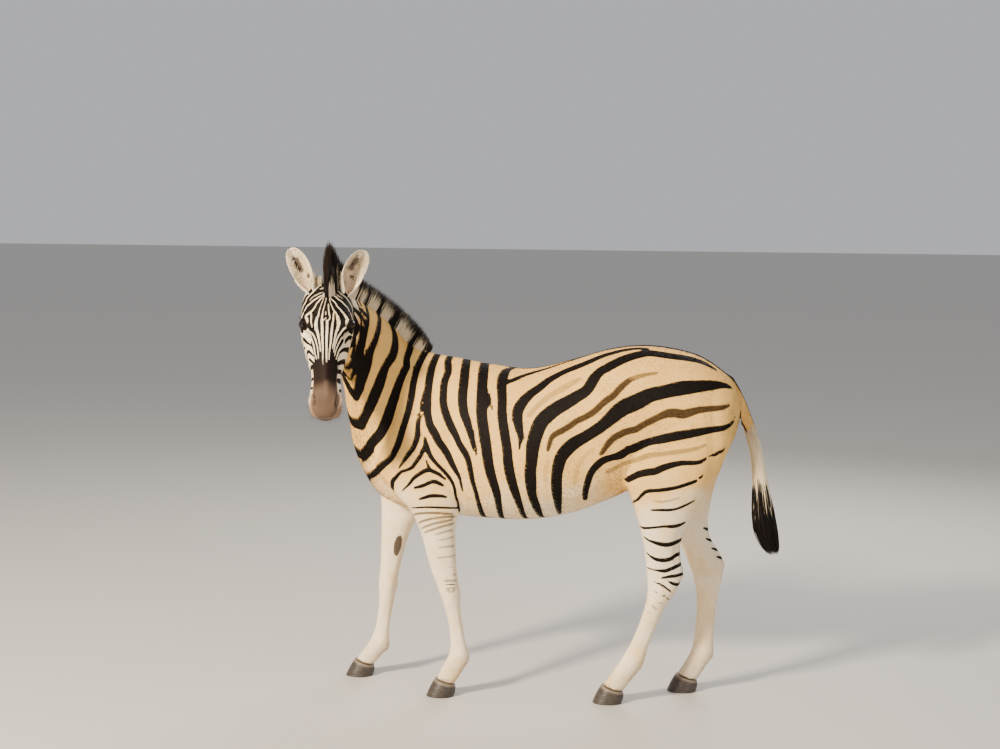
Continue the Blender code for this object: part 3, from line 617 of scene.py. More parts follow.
# swellings and hollows of the body: place, reach, push in the stations' frame
bodyForms = [
    ((-0.43, -0.15, 1), (0.05, 0.06, 0.17), (-0.006, -0.008, 0)),  # shoulder blade
    ((-0.3, -0.2, 0.96), (0.03, 0.06, 0.12), (0, 0.01, 0)),  # groove behind it
    ((-0.47, -0.15, 0.86), (0.06, 0.06, 0.06), (-0.004, -0.009, 0)),  # point of the shoulder
    ((-0.33, -0.17, 0.79), (0.05, 0.05, 0.05), (0.004, -0.007, 0)),  # upper arm
    ((0.26, -0.215, 1.13), (0.05, 0.05, 0.04), (0, -0.009, 0.004)),  # point of the hip
    ((0.18, -0.22, 0.96), (0.07, 0.06, 0.11), (0, 0.012, 0)),  # flank hollow
    ((0.34, -0.19, 0.8), (0.04, 0.05, 0.05), (-0.005, -0.006, 0)),  # stifle
    ((0.64, -0.14, 0.96), (0.02, 0.06, 0.16), (-0.005, 0.008, 0)),  # groove of the hamstrings
]

grids = {"body": bodyGrid(), "head": headGrid(), "tail": tailGrid()}
grids.update({leg: legGrid(leg) for leg in legStations})
chartSteps = {"body": bodySteps, "head": headSteps, "tail": tailSteps, **{leg: legSteps for leg in legStations}}
leftTurns = {"head": 1}  # on the other lofts the left side has the turns past half


# a place on a loft: two-way interpolation between its rings and its turns
def chartPlace(chart, station, turn, side):
    grid = grids[chart]
    rows, sides = grid.shape[:2]
    left = leftTurns.get(chart, -1)
    column = np.where(side * left > 0, turn, 2 - turn) * sides / 2
    row = np.clip(station * chartSteps[chart], 0, rows - 1.0001)
    i, j = np.floor(row).astype(int), np.floor(column).astype(int)
    a, b = (row - i)[:, None], (column - j)[:, None]
    low = grid[i, j % sides] * (1 - b) + grid[i, (j + 1) % sides] * b
    high = grid[i + 1, j % sides] * (1 - b) + grid[i + 1, (j + 1) % sides] * b
    return low * (1 - a) + high * a


# swellings and grooves of the legs, outwards from the middle of their ring, on both sides of each leg
def pushedLegs(points):
    moved = points.copy()
    for kind, station, turn, alongReach, acrossReach, push in legForms:
        for leg in legStations:
            if not leg.startswith(kind):
                continue
            for side in (1, -1):
                turns = np.array([turn, turn])
                spot, ahead = chartPlace(leg, np.array([station, station + 0.3]), turns, side)
                ahead = ahead - spot
                ahead /= np.linalg.norm(ahead)
                middle = grids[leg].mean(1)[int(station * legSteps)]
                out = (spot - middle) / np.linalg.norm(spot - middle)
                offset = points - spot
                far = offset @ ahead
                across = np.linalg.norm(offset - far[:, None] * ahead, axis=1)
                amount = np.exp(-((far / alongReach) ** 2) - (across / acrossReach) ** 2)
                share = 0.5 if turn in (0.0, 1.0) else 1.0  # both sides meet there
                moved += amount[:, None] * out * (push * share)
    return moved


# forms pushed in or out, then the skin set back by the coat's depth, then the lids
def shapeSkin(skin):
    points = pointsOf(skin.data)
    near = toHead(points)
    inHead = headMask(near)
    points[inHead] = fromHead(pushed(near[inHead], headForms, (-1, 1, 1)))
    points = np.where(inHead[:, None], points, pushedLegs(pushed(points, bodyForms, (1, -1, 1))))
    setPoints(skin.data, points)
    normals = vectorsOf(skin.data.vertex_normals, "vector")
    near = toHead(points)
    nearEye = eyeDistance(points) < 0.05
    inset = skinSizes["coatDepth"] * (1 - 0.6 * fade(near[:, 1], 0.30, 0.42) * inHead)
    inset = np.where(nearEye, inset * 0.4, inset)
    points -= normals * inset[:, None]
    near = toHead(points)
    points[inHead] = fromHead(liddedHead(near[inHead]))
    setPoints(skin.data, points)


shapeSkin(skin)
print("skin shaped")

# markings

# A stripe runs through rows of station, turn and half width in mm. Turn 0 is the back, the front of a leg
# or the middle of the face; turn 1 the keel, the back of a leg or the jaw.
bodyStripes = [
    [(16.75, 0.15, 3), (16.85, 0.3, 4), (16.85, 0.5, 4), (16.9, 0.75, 4)],
    [(16.4, 0, 4), (16.4, 0.15, 4.5), (16.42, 0.3, 5), (16.55, 0.45, 5), (16.7, 0.6, 5), (16.8, 0.8, 5),
     (16.8, 1, 4)],
    [(16.15, 0, 5), (16.2, 0.12, 4.5), (16.22, 0.3, 5), (16.45, 0.45, 5.5), (16.6, 0.6, 6), (16.68, 0.8, 6),
     (16.68, 1, 5)],
    [(15.7, 0, 8), (15.85, 0.15, 8), (16.05, 0.3, 8), (16.3, 0.42, 9), (16.5, 0.58, 10), (16.52, 0.75, 9),
     (16.4, 0.92, 7), (16.25, 1, 6)],
    [(15, 0, 10), (15.1, 0.15, 10), (15.45, 0.3, 11), (16, 0.5, 13), (16.12, 0.62, 16), (16.12, 0.8, 18),
     (15.86, 0.93, 17), (15.65, 1, 16)],
    [(14.1, 0, 10), (14.2, 0.1, 10.5), (14.28, 0.22, 11), (14.58, 0.35, 13), (15.06, 0.48, 15), (15.22, 0.59, 17),
     (15.26, 0.72, 17), (15.17, 0.83, 17), (14.95, 0.93, 16), (14.7, 1, 16)],
    [(12.75, 0, 10), (12.62, 0.1, 10), (12.83, 0.19, 9.5), (13.35, 0.28, 9.5), (13.72, 0.34, 9.5), (13.95, 0.41, 10),
     (14.12, 0.49, 11.5), (14.18, 0.57, 13), (14.12, 0.65, 14), (14.05, 0.73, 15), (14.02, 0.83, 16),
     (13.87, 0.92, 15), (13.66, 1, 15)],
    [(11.45, 0, 10), (11.47, 0.08, 11), (11.58, 0.15, 10.5), (11.68, 0.2, 10.5), (11.68, 0.26, 10.5),
     (11.57, 0.32, 11), (11.53, 0.38, 11), (11.63, 0.445, 11), (11.73, 0.51, 11), (11.9, 0.57, 10.5),
     (12.1, 0.62, 11), (12.35, 0.67, 12), (12.65, 0.75, 11), (12.9, 0.86, 9), (13, 1, 8)],
    [(11.04, 0.3, 1.5), (10.99, 0.35, 3.5), (10.95, 0.4, 6), (10.88, 0.445, 9), (10.93, 0.48, 8.5), (11.03, 0.505, 8),
     (11.17, 0.54, 7), (11.28, 0.57, 5), (11.42, 0.61, 2)],
    [(10.62, 0.445, 3), (10.6, 0.46, 6), (10.57, 0.475, 8.5), (10.64, 0.495, 7.5), (10.7, 0.52, 7),
     (10.81, 0.552, 6.5), (10.93, 0.583, 6), (11.11, 0.605, 4.5), (11.31, 0.625, 5), (11.48, 0.665, 6.5),
     (11.6, 0.7, 8), (11.57, 0.75, 8.5)],
    # this stripe's lower end, from turn 0.62 down the rear edge of the upper arm to the elbow, is stripe and painted
    # shade in the fold between leg and belly
    [(10.55, 0.475, 8.5), (10.43, 0.505, 8), (10.35, 0.523, 7), (10.21, 0.547, 6), (10.06, 0.571, 6),
     (9.92, 0.597, 6), (9.82, 0.624, 5.5), (9.76, 0.66, 5), (9.74, 0.705, 4.5), (9.7, 0.75, 4.5), (9.7, 0.84, 4)],
    [(10.51, 0.535, 3), (10.45, 0.56, 4.5), (10.42, 0.577, 7), (10.54, 0.587, 7), (10.715, 0.613, 6.5),
     (10.86, 0.641, 5.5), (10.95, 0.67, 4.5), (11.05, 0.695, 3), (11.2, 0.735, 1.5)],
    [(10.42, 0.577, 7), (10.31, 0.583, 6.5), (10.17, 0.592, 6), (10.08, 0.604, 4.5), (10, 0.614, 3)],
    [(10.8, 0.69, 3.5), (10.62, 0.673, 5.5), (10.45, 0.652, 6), (10.31, 0.635, 6.5), (10.17, 0.64, 6),
     (10.06, 0.65, 4)],
    [(10.68, 0.764, 2.5), (10.54, 0.745, 5), (10.38, 0.725, 6), (10.2, 0.718, 6), (10.08, 0.716, 5),
     (9.98, 0.72, 3)],
    [(10.75, 0, 9), (10.78, 0.1, 11), (10.82, 0.19, 12.5), (10.75, 0.295, 12.5), (10.7, 0.333, 12.5),
     (10.63, 0.37, 12), (10.51, 0.405, 12), (10.36, 0.428, 13), (10.22, 0.455, 12), (10.07, 0.476, 11.5),
     (9.93, 0.5, 11), (9.82, 0.534, 10), (9.71, 0.567, 8), (9.64, 0.59, 6), (9.6, 0.615, 4.5), (9.57, 0.65, 3.5),
     (9.555, 0.67, 2)],
    [(10.27, 0, 9), (10.3, 0.1, 11), (10.21, 0.175, 12), (10.26, 0.235, 12), (10.22, 0.305, 12),
     (10.157, 0.338, 12.5), (10.04, 0.37, 12.5), (9.9, 0.4, 13), (9.75, 0.428, 12), (9.64, 0.455, 11),
     (9.49, 0.48, 11), (9.4, 0.505, 10), (9.345, 0.545, 9.5), (9.3, 0.588, 8.5), (9.24, 0.638, 7.5),
     (9.19, 0.69, 7.5), (9.15, 0.75, 8), (9.1, 0.87, 9), (9.05, 0.94, 7)],
    [(9.74, 0, 11), (9.73, 0.05, 13), (9.69, 0.16, 15), (9.67, 0.225, 15.5), (9.655, 0.29, 15.5), (9.58, 0.34, 15),
     (9.48, 0.37, 13.5), (9.39, 0.4, 11.5), (9.31, 0.43, 9.5), (9.25, 0.457, 7.5), (9.21, 0.48, 4),
     (9.2, 0.49, 1.5)],
    [(9.2, 0, 13), (9.2, 0.04, 15), (9.17, 0.13, 17), (9.13, 0.243, 17), (9.1, 0.32, 18), (9.04, 0.375, 18),
     (8.96, 0.43, 18), (8.9, 0.48, 17.5), (8.85, 0.53, 17), (8.77, 0.59, 16), (8.68, 0.655, 14), (8.65, 0.74, 11),
     (8.63, 0.87, 9), (8.63, 0.95, 7)],
    [(9.03, 0.225, 5), (8.93, 0.265, 6), (8.87, 0.3, 6), (8.84, 0.318, 3)],
    [(8.45, 0, 6), (8.5, 0.04, 10), (8.58, 0.07, 13), (8.64, 0.14, 17), (8.64, 0.195, 16.5), (8.59, 0.265, 15.5),
     (8.57, 0.325, 15.5), (8.52, 0.37, 16), (8.46, 0.415, 16), (8.41, 0.455, 16), (8.38, 0.5, 16.5), (8.34, 0.55, 17),
     (8.27, 0.61, 16), (8.19, 0.67, 14), (8.12, 0.745, 11), (8.07, 0.83, 9), (8.03, 0.9, 7)],
    [(8.5, 0.17, 8), (8.35, 0.15, 9), (8.18, 0.12, 8.5), (7.95, 0.09, 9), (7.7, 0.07, 9), (7.42, 0.055, 8),
     (7.1, 0.04, 7), (6.85, 0.03, 6), (6.5, 0.02, 5)],
    [(8.1, 0.455, 3), (8.08, 0.41, 9), (8.15, 0.365, 15), (8.19, 0.32, 18), (8.13, 0.285, 19), (7.94, 0.24, 17),
     (7.68, 0.205, 16), (7.49, 0.175, 15), (7.27, 0.155, 14), (7.06, 0.14, 14), (6.8, 0.13, 15), (6.5, 0.12, 15),
     (6.2, 0.105, 14), (5.9, 0.095, 13), (5.5, 0.085, 12), (5.1, 0.08, 11), (4.75, 0.09, 10)],
    [(7.62, 0.92, 6), (7.72, 0.76, 14), (7.8, 0.675, 15), (7.82, 0.61, 19), (7.83, 0.55, 19.5), (7.8, 0.5, 20),
     (7.78, 0.455, 22), (7.72, 0.41, 24), (7.6, 0.365, 25), (7.42, 0.34, 25), (7.21, 0.323, 24), (7, 0.313, 23),
     (6.73, 0.3, 21), (6.48, 0.287, 20), (6.32, 0.245, 20), (6.17, 0.218, 18), (5.97, 0.205, 19), (5.5, 0.175, 20),
     (5, 0.15, 20), (4.75, 0.135, 20), (4.5, 0.135, 19), (4, 0.14, 18), (3.5, 0.132, 17), (3, 0.12, 15),
     (2.5, 0.115, 11), (2.2, 0.115, 6)],
    [(7.2, 0.91, 5), (7.2, 0.755, 13), (7.21, 0.675, 18), (7.2, 0.6, 18.5), (7.155, 0.553, 20), (7.08, 0.515, 21),
     (6.93, 0.492, 22), (6.75, 0.48, 21), (6.52, 0.475, 19), (6.24, 0.467, 19), (6, 0.457, 20), (5.5, 0.43, 26),
     (5, 0.42, 27), (4.5, 0.385, 24), (4, 0.36, 23), (3.5, 0.333, 25), (3, 0.31, 22), (2.5, 0.283, 19), (2, 0.25, 14),
     (1.6, 0.23, 10), (1.3, 0.22, 5)],
    [(6.54, 0.8, 8), (6.52, 0.74, 11), (6.43, 0.675, 12), (6.33, 0.64, 12), (6.17, 0.62, 13), (6, 0.612, 12),
     (5.72, 0.62, 12), (5.5, 0.628, 15), (5.25, 0.62, 15), (5, 0.62, 15), (4.5, 0.594, 13), (4, 0.576, 15),
     (3.5, 0.558, 15), (3, 0.545, 13.5), (2.5, 0.543, 11), (2, 0.555, 9), (1.5, 0.56, 6), (1.05, 0.55, 3)],
    [(5.3, 0.775, 6), (5, 0.784, 10), (4.77, 0.76, 11), (4.5, 0.747, 12), (4.25, 0.74, 12), (4, 0.72, 11),
     (3.5, 0.7, 8.5), (3, 0.708, 7), (2.8, 0.69, 4)],
    [(2.6, 0.69, 5), (2.35, 0.7, 6.5), (2.1, 0.69, 4)],
    [(8.6, 0, 8), (8, 0, 12), (6, 0, 20), (4.5, 0, 25), (2, 0, 24), (1, 0, 16), (0.4, 0, 10)],
]

# the right side of the neck is the longer one, and has stripes of its own
rightStripes = [
    [(12.1, 0.05, 4), (12.12, 0.15, 9), (12.2, 0.3, 11), (12.38, 0.45, 12), (12.6, 0.6, 11), (12.9, 0.75, 9),
     (13.1, 0.86, 3)],
    [(12.75, 0, 10), (12.76, 0.15, 12), (12.85, 0.3, 14), (13, 0.45, 16), (13.2, 0.6, 16), (13.42, 0.75, 15),
     (13.6, 0.9, 15), (13.66, 1, 15)],
    [(13.42, 0.08, 3), (13.45, 0.2, 9), (13.52, 0.35, 12), (13.65, 0.5, 11), (13.85, 0.66, 8), (14, 0.76, 3)],
    [(14.1, 0, 10), (14.12, 0.2, 13), (14.2, 0.4, 16), (14.32, 0.6, 17), (14.5, 0.8, 17), (14.65, 0.92, 16),
     (14.7, 1, 16)],
]

# brown shadow stripes, with how deep each is
bodyShadows = [
    (0.97, [(7.42, 0.475, 5), (7.32, 0.43, 7), (7.16, 0.42, 8), (6.94, 0.412, 8), (6.72, 0.4, 8), (6.48, 0.398, 8),
            (6.24, 0.389, 8.5), (6, 0.37, 9), (5.75, 0.36, 9), (5.5, 0.33, 9), (5.2, 0.305, 7)]),
    (0.7, [(5.2, 0.305, 7), (4.8, 0.29, 6), (4.3, 0.27, 3)]),
    (0.97, [(6.1, 0.58, 6), (5.92, 0.55, 8), (5.73, 0.534, 9), (5.5, 0.535, 9), (5.25, 0.536, 9), (5, 0.54, 9),
            (4.77, 0.525, 9), (4.5, 0.505, 9), (4.25, 0.484, 9), (4, 0.464, 11), (3.75, 0.457, 12), (3.5, 0.459, 12),
            (3.25, 0.448, 11), (3, 0.435, 9.5), (2.5, 0.423, 8), (2, 0.418, 7), (1.5, 0.41, 4)]),
    (0.55, [(5.95, 0.68, 6), (5.5, 0.677, 6), (5, 0.68, 6), (4.5, 0.66, 7), (4, 0.65, 6), (3.5, 0.64, 6),
            (3, 0.63, 5), (2.7, 0.62, 2)]),
    (0.65, [(4.97, 0.83, 4), (4.5, 0.87, 5), (4, 0.86, 6), (3.5, 0.835, 6), (3, 0.82, 5), (2.65, 0.83, 3)]),
    (0.4, [(7.9, 0.33, 6), (7.6, 0.28, 8), (7.3, 0.255, 9), (7, 0.235, 9), (6.7, 0.22, 7)]),
    (0.25, [(7.45, 0.62, 5), (7.47, 0.56, 6), (7.4, 0.52, 5)]),
    (0.22, [(6.75, 0.68, 5), (6.72, 0.62, 6), (6.6, 0.57, 6), (6.3, 0.54, 5)]),
]

legStripes = {
    "hindLeft": [
        [(4.4, 0.05, 3), (4.22, 0.2, 4), (4, 0.27, 5), (3.81, 0.33, 6), (3.77, 0.41, 6), (3.73, 0.48, 6.5),
         (3.65, 0.565, 6), (3.55, 0.63, 6), (3.45, 0.69, 5.5), (3.3, 0.73, 4), (3.2, 0.745, 2)],
        [(4.6, 0.355, 2.5), (4.59, 0.44, 4), (4.6, 0.52, 4.5), (4.57, 0.59, 4), (4.48, 0.655, 4), (4.37, 0.72, 3.5),
         (4.27, 0.77, 2)],
        [(5.55, 0.1, 3), (5.6, 0.2, 4), (5.52, 0.37, 3.5), (5.45, 0.5, 4), (5.48, 0.6, 6), (5.45, 0.7, 6),
         (5.35, 0.78, 3)],
        [(6.2, 0.15, 2), (6.38, 0.25, 3.5), (6.52, 0.35, 5), (6.65, 0.45, 7), (6.75, 0.58, 8), (6.7, 0.72, 8),
         (6.62, 0.88, 7), (6.6, 1, 5)],
        [(7.25, 0.15, 2), (7.5, 0.28, 4), (7.7, 0.4, 6), (7.78, 0.52, 7), (7.75, 0.65, 7), (7.6, 0.8, 7),
         (7.55, 0.95, 6)],
        [(8.2, 0.1, 2), (8.38, 0.35, 3), (8.5, 0.5, 6), (8.45, 0.6, 6), (8.35, 0.75, 6), (8.25, 0.95, 5)],
        [(8.95, 0.45, 3), (8.95, 0.6, 5), (9, 0.75, 5.5), (9, 0.97, 5)],
        [(9.2, 0.55, 2), (9.45, 0.68, 5), (9.6, 0.85, 5), (9.5, 0.97, 4)],
        [(9.15, 0.3, 2), (9.4, 0.45, 3.5), (9.75, 0.6, 3.5), (9.95, 0.7, 2)],
        [(9.8, 0.3, 1.5), (10.1, 0.5, 2.5), (10.4, 0.7, 3), (10.6, 0.85, 2)],
    ],
    "foreLeft": [
        [(3.8, 0.25, 2), (3.68, 0.4, 3), (3.65, 0.52, 3.6), (3.68, 0.64, 3.6), (3.78, 0.8, 3.2), (3.9, 0.92, 2.5)],
        [(6.9, 0.55, 1.5), (6.9, 0.8, 2.5)],
        [(7.3, 0.6, 2.5), (7.3, 0.9, 2.5)],
        [(7.9, 0.5, 1.5), (7.9, 0.8, 2.5)],
    ],
}

legShadows = {
    "hindLeft": [
        (0.5, [(4.2, 0.38, 1.5), (4.25, 0.45, 2.5), (4.2, 0.53, 2.5), (4.1, 0.6, 1.5)]),
        (0.6, [(10.6, 0.45, 2), (10.9, 0.7, 3)]),
        (0.6, [(10.9, 0.35, 2), (11.2, 0.62, 2.5)]),
        (0.55, [(11.35, 0.3, 2), (11.55, 0.6, 2.5)]),
        (0.5, [(11.8, 0.3, 2), (11.95, 0.6, 2.5)]),
        (0.45, [(12.2, 0.35, 1.5), (12.3, 0.6, 2)]),
    ],
    "foreLeft": [
        (0.85, [(4.45, 0.12, 2), (4.2, 0.3, 3), (4.08, 0.45, 3), (4.08, 0.62, 3), (4.2, 0.78, 3)]),
        (0.8, [(4.95, 0.2, 2), (4.62, 0.38, 3), (4.42, 0.55, 3), (4.35, 0.7, 3), (4.42, 0.85, 2.5)]),
        (0.75, [(5.3, 0.22, 2), (4.95, 0.42, 3), (4.72, 0.6, 3), (4.6, 0.8, 3)]),
        (0.75, [(5.55, 0.28, 2), (5.22, 0.48, 3), (5, 0.66, 3), (4.9, 0.85, 3)]),
        (0.6, [(5.6, 0.5, 2), (5.4, 0.68, 3), (5.35, 0.86, 2.5)]),
        (0.5, [(5.95, 0.5, 2), (5.85, 0.7, 2.5), (5.8, 0.88, 2.5)]),
        (0.6, [(6.22, 0.5, 2), (6.2, 0.7, 2.5), (6.2, 0.9, 2.5)]),
        (0.55, [(6.55, 0.46, 2), (6.52, 0.7, 2.5), (6.5, 0.92, 2.5)]),
        (0.7, [(7.3, 0.42, 2), (7.28, 0.6, 2.5), (7.25, 0.9, 3)]),
        (0.7, [(7.62, 0.48, 2), (7.6, 0.65, 3), (7.6, 0.88, 3)]),
        (0.6, [(8.15, 0.5, 2), (8.15, 0.7, 2.5), (8.15, 0.85, 2)]),
        (0.55, [(8.45, 0.5, 2), (8.45, 0.7, 2.5)]),
    ],
}

tailStripes = [
    [(0.3, 0, 8), (1.5, 0, 7), (3, 0, 6), (4.5, 0.02, 4), (5.5, 0.03, 2)],
    [(1.8, 0.84, 2), (2.6, 0.82, 4), (3.4, 0.8, 5), (4.4, 0.8, 5), (5.4, 0.8, 4), (6.2, 0.8, 2)],
]

# the bare patch inside the knee
chestnut = 0.93, [(6.02, 0.655, 5), (6.2, 0.66, 10), (6.45, 0.66, 11), (6.7, 0.66, 6)]

# The face is dark with pale lines: its dark patch reaches out to these turns, by side (1 is the animal's left).
faceEdges = {
    -1: [(0, 0.16), (0.6, 0.215), (1, 0.25), (1.6, 0.315), (1.9, 0.4), (2.35, 0.47), (3, 0.5), (3.8, 0.5),
         (4.3, 0.48), (4.7, 0.45), (5, 0.4), (5.2, 0.33), (5.4, 0.28), (5.6, 0.24), (6, 0.22), (6.4, 0.245),
         (6.7, 0.25), (7, 0.225), (7.4, 0.205), (8, 0.23), (8.6, 0.27)],
    1: [(0, 0.1), (0.5, 0.145), (0.85, 0.185), (1.1, 0.22), (1.3, 0.25), (1.5, 0.28), (1.7, 0.34), (1.9, 0.4),
        (2.3, 0.46), (3, 0.5), (3.8, 0.5), (4.3, 0.48), (4.8, 0.46), (5.2, 0.42), (5.5, 0.36), (5.6, 0.3),
        (5.9, 0.27), (6.2, 0.265), (6.5, 0.25), (6.8, 0.22), (7.1, 0.2), (7.5, 0.19), (8, 0.2), (8.6, 0.23)],
}

facePale = {
    -1: [
        [(0, 0.1, 4.5), (1, 0.115, 4.6), (1.3, 0.145, 4), (1.6, 0.175, 3.4), (1.85, 0.215, 2.9), (2.05, 0.255, 2.9),
         (2.2, 0.292, 3), (2.45, 0.312, 3.1), (2.6, 0.34, 3.3), (2.75, 0.38, 3.4), (2.95, 0.415, 3.5),
         (3.1, 0.45, 3.6), (3.5, 0.475, 4), (4, 0.47, 4), (4.2, 0.44, 3.5)],
        [(1.25, 0.03, 2), (1.42, 0.035, 2.6), (1.5, 0.065, 2.6), (1.55, 0.09, 1.5)],
        [(1.75, 0.03, 0.9), (2, 0.04, 1), (2.25, 0.055, 1.3), (2.35, 0.09, 2), (2.5, 0.125, 2.4), (2.6, 0.16, 2.6),
         (2.75, 0.2, 2.7), (2.9, 0.235, 2.8), (3.02, 0.28, 2.8), (3.2, 0.305, 2.9), (3.4, 0.33, 3), (3.7, 0.352, 3),
         (3.85, 0.375, 3.3), (4, 0.4, 3.8), (4.1, 0.43, 3.5)],
        [(4.1, 0.4, 2.4), (4.35, 0.375, 2), (4.6, 0.345, 1.9), (4.85, 0.315, 2), (5.05, 0.29, 2)],
        [(1.85, 0.012, 0.9), (2.1, 0.03, 1), (2.4, 0.055, 1.2), (2.6, 0.08, 1.8), (2.8, 0.1, 2.1), (2.97, 0.125, 2.2),
         (3.2, 0.14, 2.3), (3.45, 0.16, 2.5), (3.65, 0.18, 2.9), (3.85, 0.2, 3.4), (4.05, 0.197, 2.8),
         (4.3, 0.195, 2.5), (4.75, 0.2, 2.3), (5, 0.2, 2.2), (5.2, 0.195, 2), (5.35, 0.19, 1.5)],
        [(3.85, 0.205, 3), (4, 0.235, 3.4), (4.2, 0.265, 4.2), (4.5, 0.27, 4.4), (4.75, 0.27, 4.3), (5.05, 0.27, 4),
         (5.3, 0.255, 3.6), (5.6, 0.23, 3), (5.85, 0.2, 2.7), (6.1, 0.18, 2.5), (6.35, 0.162, 2.4), (6.6, 0.15, 2.2),
         (6.95, 0.135, 2), (7.3, 0.13, 1.9), (7.7, 0.13, 1.5)],
        [(2.35, 0.035, 0.9), (2.8, 0.055, 1), (3.25, 0.075, 1.1), (3.45, 0.08, 1.3), (3.7, 0.09, 1.7),
         (4, 0.097, 2.1), (4.3, 0.105, 2.6), (4.5, 0.115, 3.2), (4.7, 0.122, 3.9), (4.9, 0.13, 4.9),
         (5.2, 0.137, 5.5), (5.45, 0.135, 5.3), (5.7, 0.13, 4.7), (5.9, 0.122, 4), (6.15, 0.115, 3.4),
         (6.4, 0.107, 2.8), (6.65, 0.1, 2.3), (6.9, 0.094, 1.9), (7.2, 0.09, 1.6)],
        [(2.5, 0.012, 0.9), (3, 0.025, 1), (3.6, 0.042, 1.3), (4, 0.05, 1.9), (4.3, 0.055, 2.6), (4.6, 0.06, 3),
         (5, 0.062, 3.6), (5.35, 0.06, 3.8), (5.7, 0.06, 3.9), (6, 0.063, 3.8), (6.3, 0.06, 3.5), (6.6, 0.057, 3.1),
         (6.9, 0.054, 2.7), (7.2, 0.054, 2.3), (7.5, 0.056, 2), (7.9, 0.055, 1.7), (8.2, 0.05, 1)],
        [(6, 0.245, 2), (6.3, 0.22, 2.3), (6.55, 0.205, 2.4), (6.8, 0.195, 2.3), (7, 0.19, 2.2), (7.3, 0.185, 1.8),
         (7.7, 0.17, 1.5)],
        [(4.85, 0.004, 3), (5, 0, 3.6), (5.3, 0, 3.6), (5.7, 0, 3.8), (6.1, 0.004, 4), (6.4, 0.004, 3.8),
         (6.7, 0.003, 3.3), (7, 0.002, 2.9), (7.3, 0.002, 2.6), (7.7, 0, 2.4), (8, 0, 1.5)],
        [(3.9, 0.015, 1), (4.1, 0.017, 1.7), (4.25, 0.016, 1.2)],
        [(4.55, 0.012, 1.2), (4.7, 0.03, 1.6), (4.82, 0.047, 1.2)],
    ],
    1: [
        [(0.1, 0.12, 3.6), (0.55, 0.155, 3.6), (0.85, 0.19, 3.5), (1.1, 0.22, 3.2), (1.3, 0.25, 2.6),
         (1.5, 0.275, 2.3), (1.6, 0.315, 2.4), (1.7, 0.35, 2.7), (1.8, 0.385, 3), (2, 0.42, 3.2), (2.4, 0.46, 3.4)],
        [(1.45, 0.085, 2), (1.65, 0.12, 2.6), (1.8, 0.15, 2.7), (1.95, 0.18, 2.6), (2.05, 0.215, 2.5),
         (2.15, 0.25, 2.5), (2.25, 0.285, 2.5), (2.4, 0.315, 2.6), (2.5, 0.35, 2.7), (2.6, 0.385, 2.9),
         (2.8, 0.42, 3.2), (3.1, 0.45, 3.4), (3.6, 0.47, 3.6), (4, 0.455, 3.8)],
        [(1.8, 0.035, 0.9), (2.1, 0.055, 1), (2.3, 0.08, 1.2), (2.4, 0.105, 2), (2.55, 0.13, 2.3), (2.65, 0.165, 2.4),
         (2.75, 0.195, 2.4), (2.9, 0.22, 2.5), (3, 0.255, 2.5), (3.15, 0.29, 2.6), (3.35, 0.31, 2.7),
         (3.6, 0.335, 2.8), (3.8, 0.355, 3), (3.95, 0.375, 3.4), (4.08, 0.4, 3.8), (4.1, 0.43, 3.4)],
        [(1.95, 0.005, 0.9), (2.25, 0.015, 1), (2.5, 0.03, 1.1), (2.7, 0.055, 1.5), (2.85, 0.08, 1.9),
         (3.03, 0.1, 2.1), (3.25, 0.115, 2.2), (3.4, 0.135, 2.5), (3.55, 0.16, 2.8), (3.75, 0.18, 3.1),
         (4, 0.205, 3.6), (4.2, 0.228, 4.2), (4.35, 0.24, 4.6), (4.6, 0.255, 4.9), (4.8, 0.262, 4.6),
         (5.02, 0.255, 3.6), (5.25, 0.235, 2.9), (5.5, 0.205, 2.7), (5.75, 0.185, 2.6), (5.98, 0.165, 2.6),
         (6.25, 0.145, 2.5), (6.5, 0.13, 2.3), (6.75, 0.115, 2), (7, 0.11, 1.7), (7.25, 0.105, 1.4)],
        [(2.45, 0.018, 0.9), (2.75, 0.026, 1), (3.05, 0.036, 1.1), (3.35, 0.05, 1.3), (3.7, 0.07, 1.9),
         (3.85, 0.078, 2.2), (4.05, 0.072, 2), (4.3, 0.07, 2.2), (4.6, 0.07, 2.5), (4.95, 0.068, 2.9),
         (5.3, 0.063, 3.4), (5.65, 0.06, 3.7), (5.98, 0.057, 3.6), (6.25, 0.055, 3.2), (6.5, 0.053, 2.9),
         (6.8, 0.047, 2.4), (7.1, 0.04, 2.1), (7.4, 0.036, 1.9), (7.8, 0.034, 1.5)],
        [(3.8, 0.082, 2), (3.95, 0.098, 2.2), (4.1, 0.108, 2.6), (4.3, 0.115, 3.8), (4.5, 0.122, 4.8),
         (4.75, 0.135, 5.8), (4.9, 0.138, 6.1), (5.1, 0.138, 5.6), (5.3, 0.135, 4.6), (5.55, 0.128, 4.1),
         (5.8, 0.12, 3.6), (6, 0.115, 3.2), (6.25, 0.107, 2.7), (6.5, 0.1, 2.2), (6.75, 0.088, 1.8),
         (7, 0.083, 1.5)],
        [(3.1, 0.01, 1), (3.45, 0.012, 1.5), (3.9, 0.015, 2), (4.2, 0.023, 2.1), (4.5, 0.03, 1.8), (4.7, 0.022, 1.6),
         (4.85, 0.008, 2)],
        [(6, 0.225, 1.2), (6.15, 0.21, 1.7), (6.35, 0.195, 1.9), (6.5, 0.18, 1.9), (6.75, 0.16, 1.8),
         (6.95, 0.145, 1.7), (7.2, 0.135, 1.5), (7.5, 0.125, 1.2)],
        [(6.35, 0.27, 2.5), (6.65, 0.24, 2.9), (6.85, 0.215, 2.6), (7.1, 0.19, 2.3), (7.4, 0.175, 2),
         (7.7, 0.16, 1.4)],
    ],
}

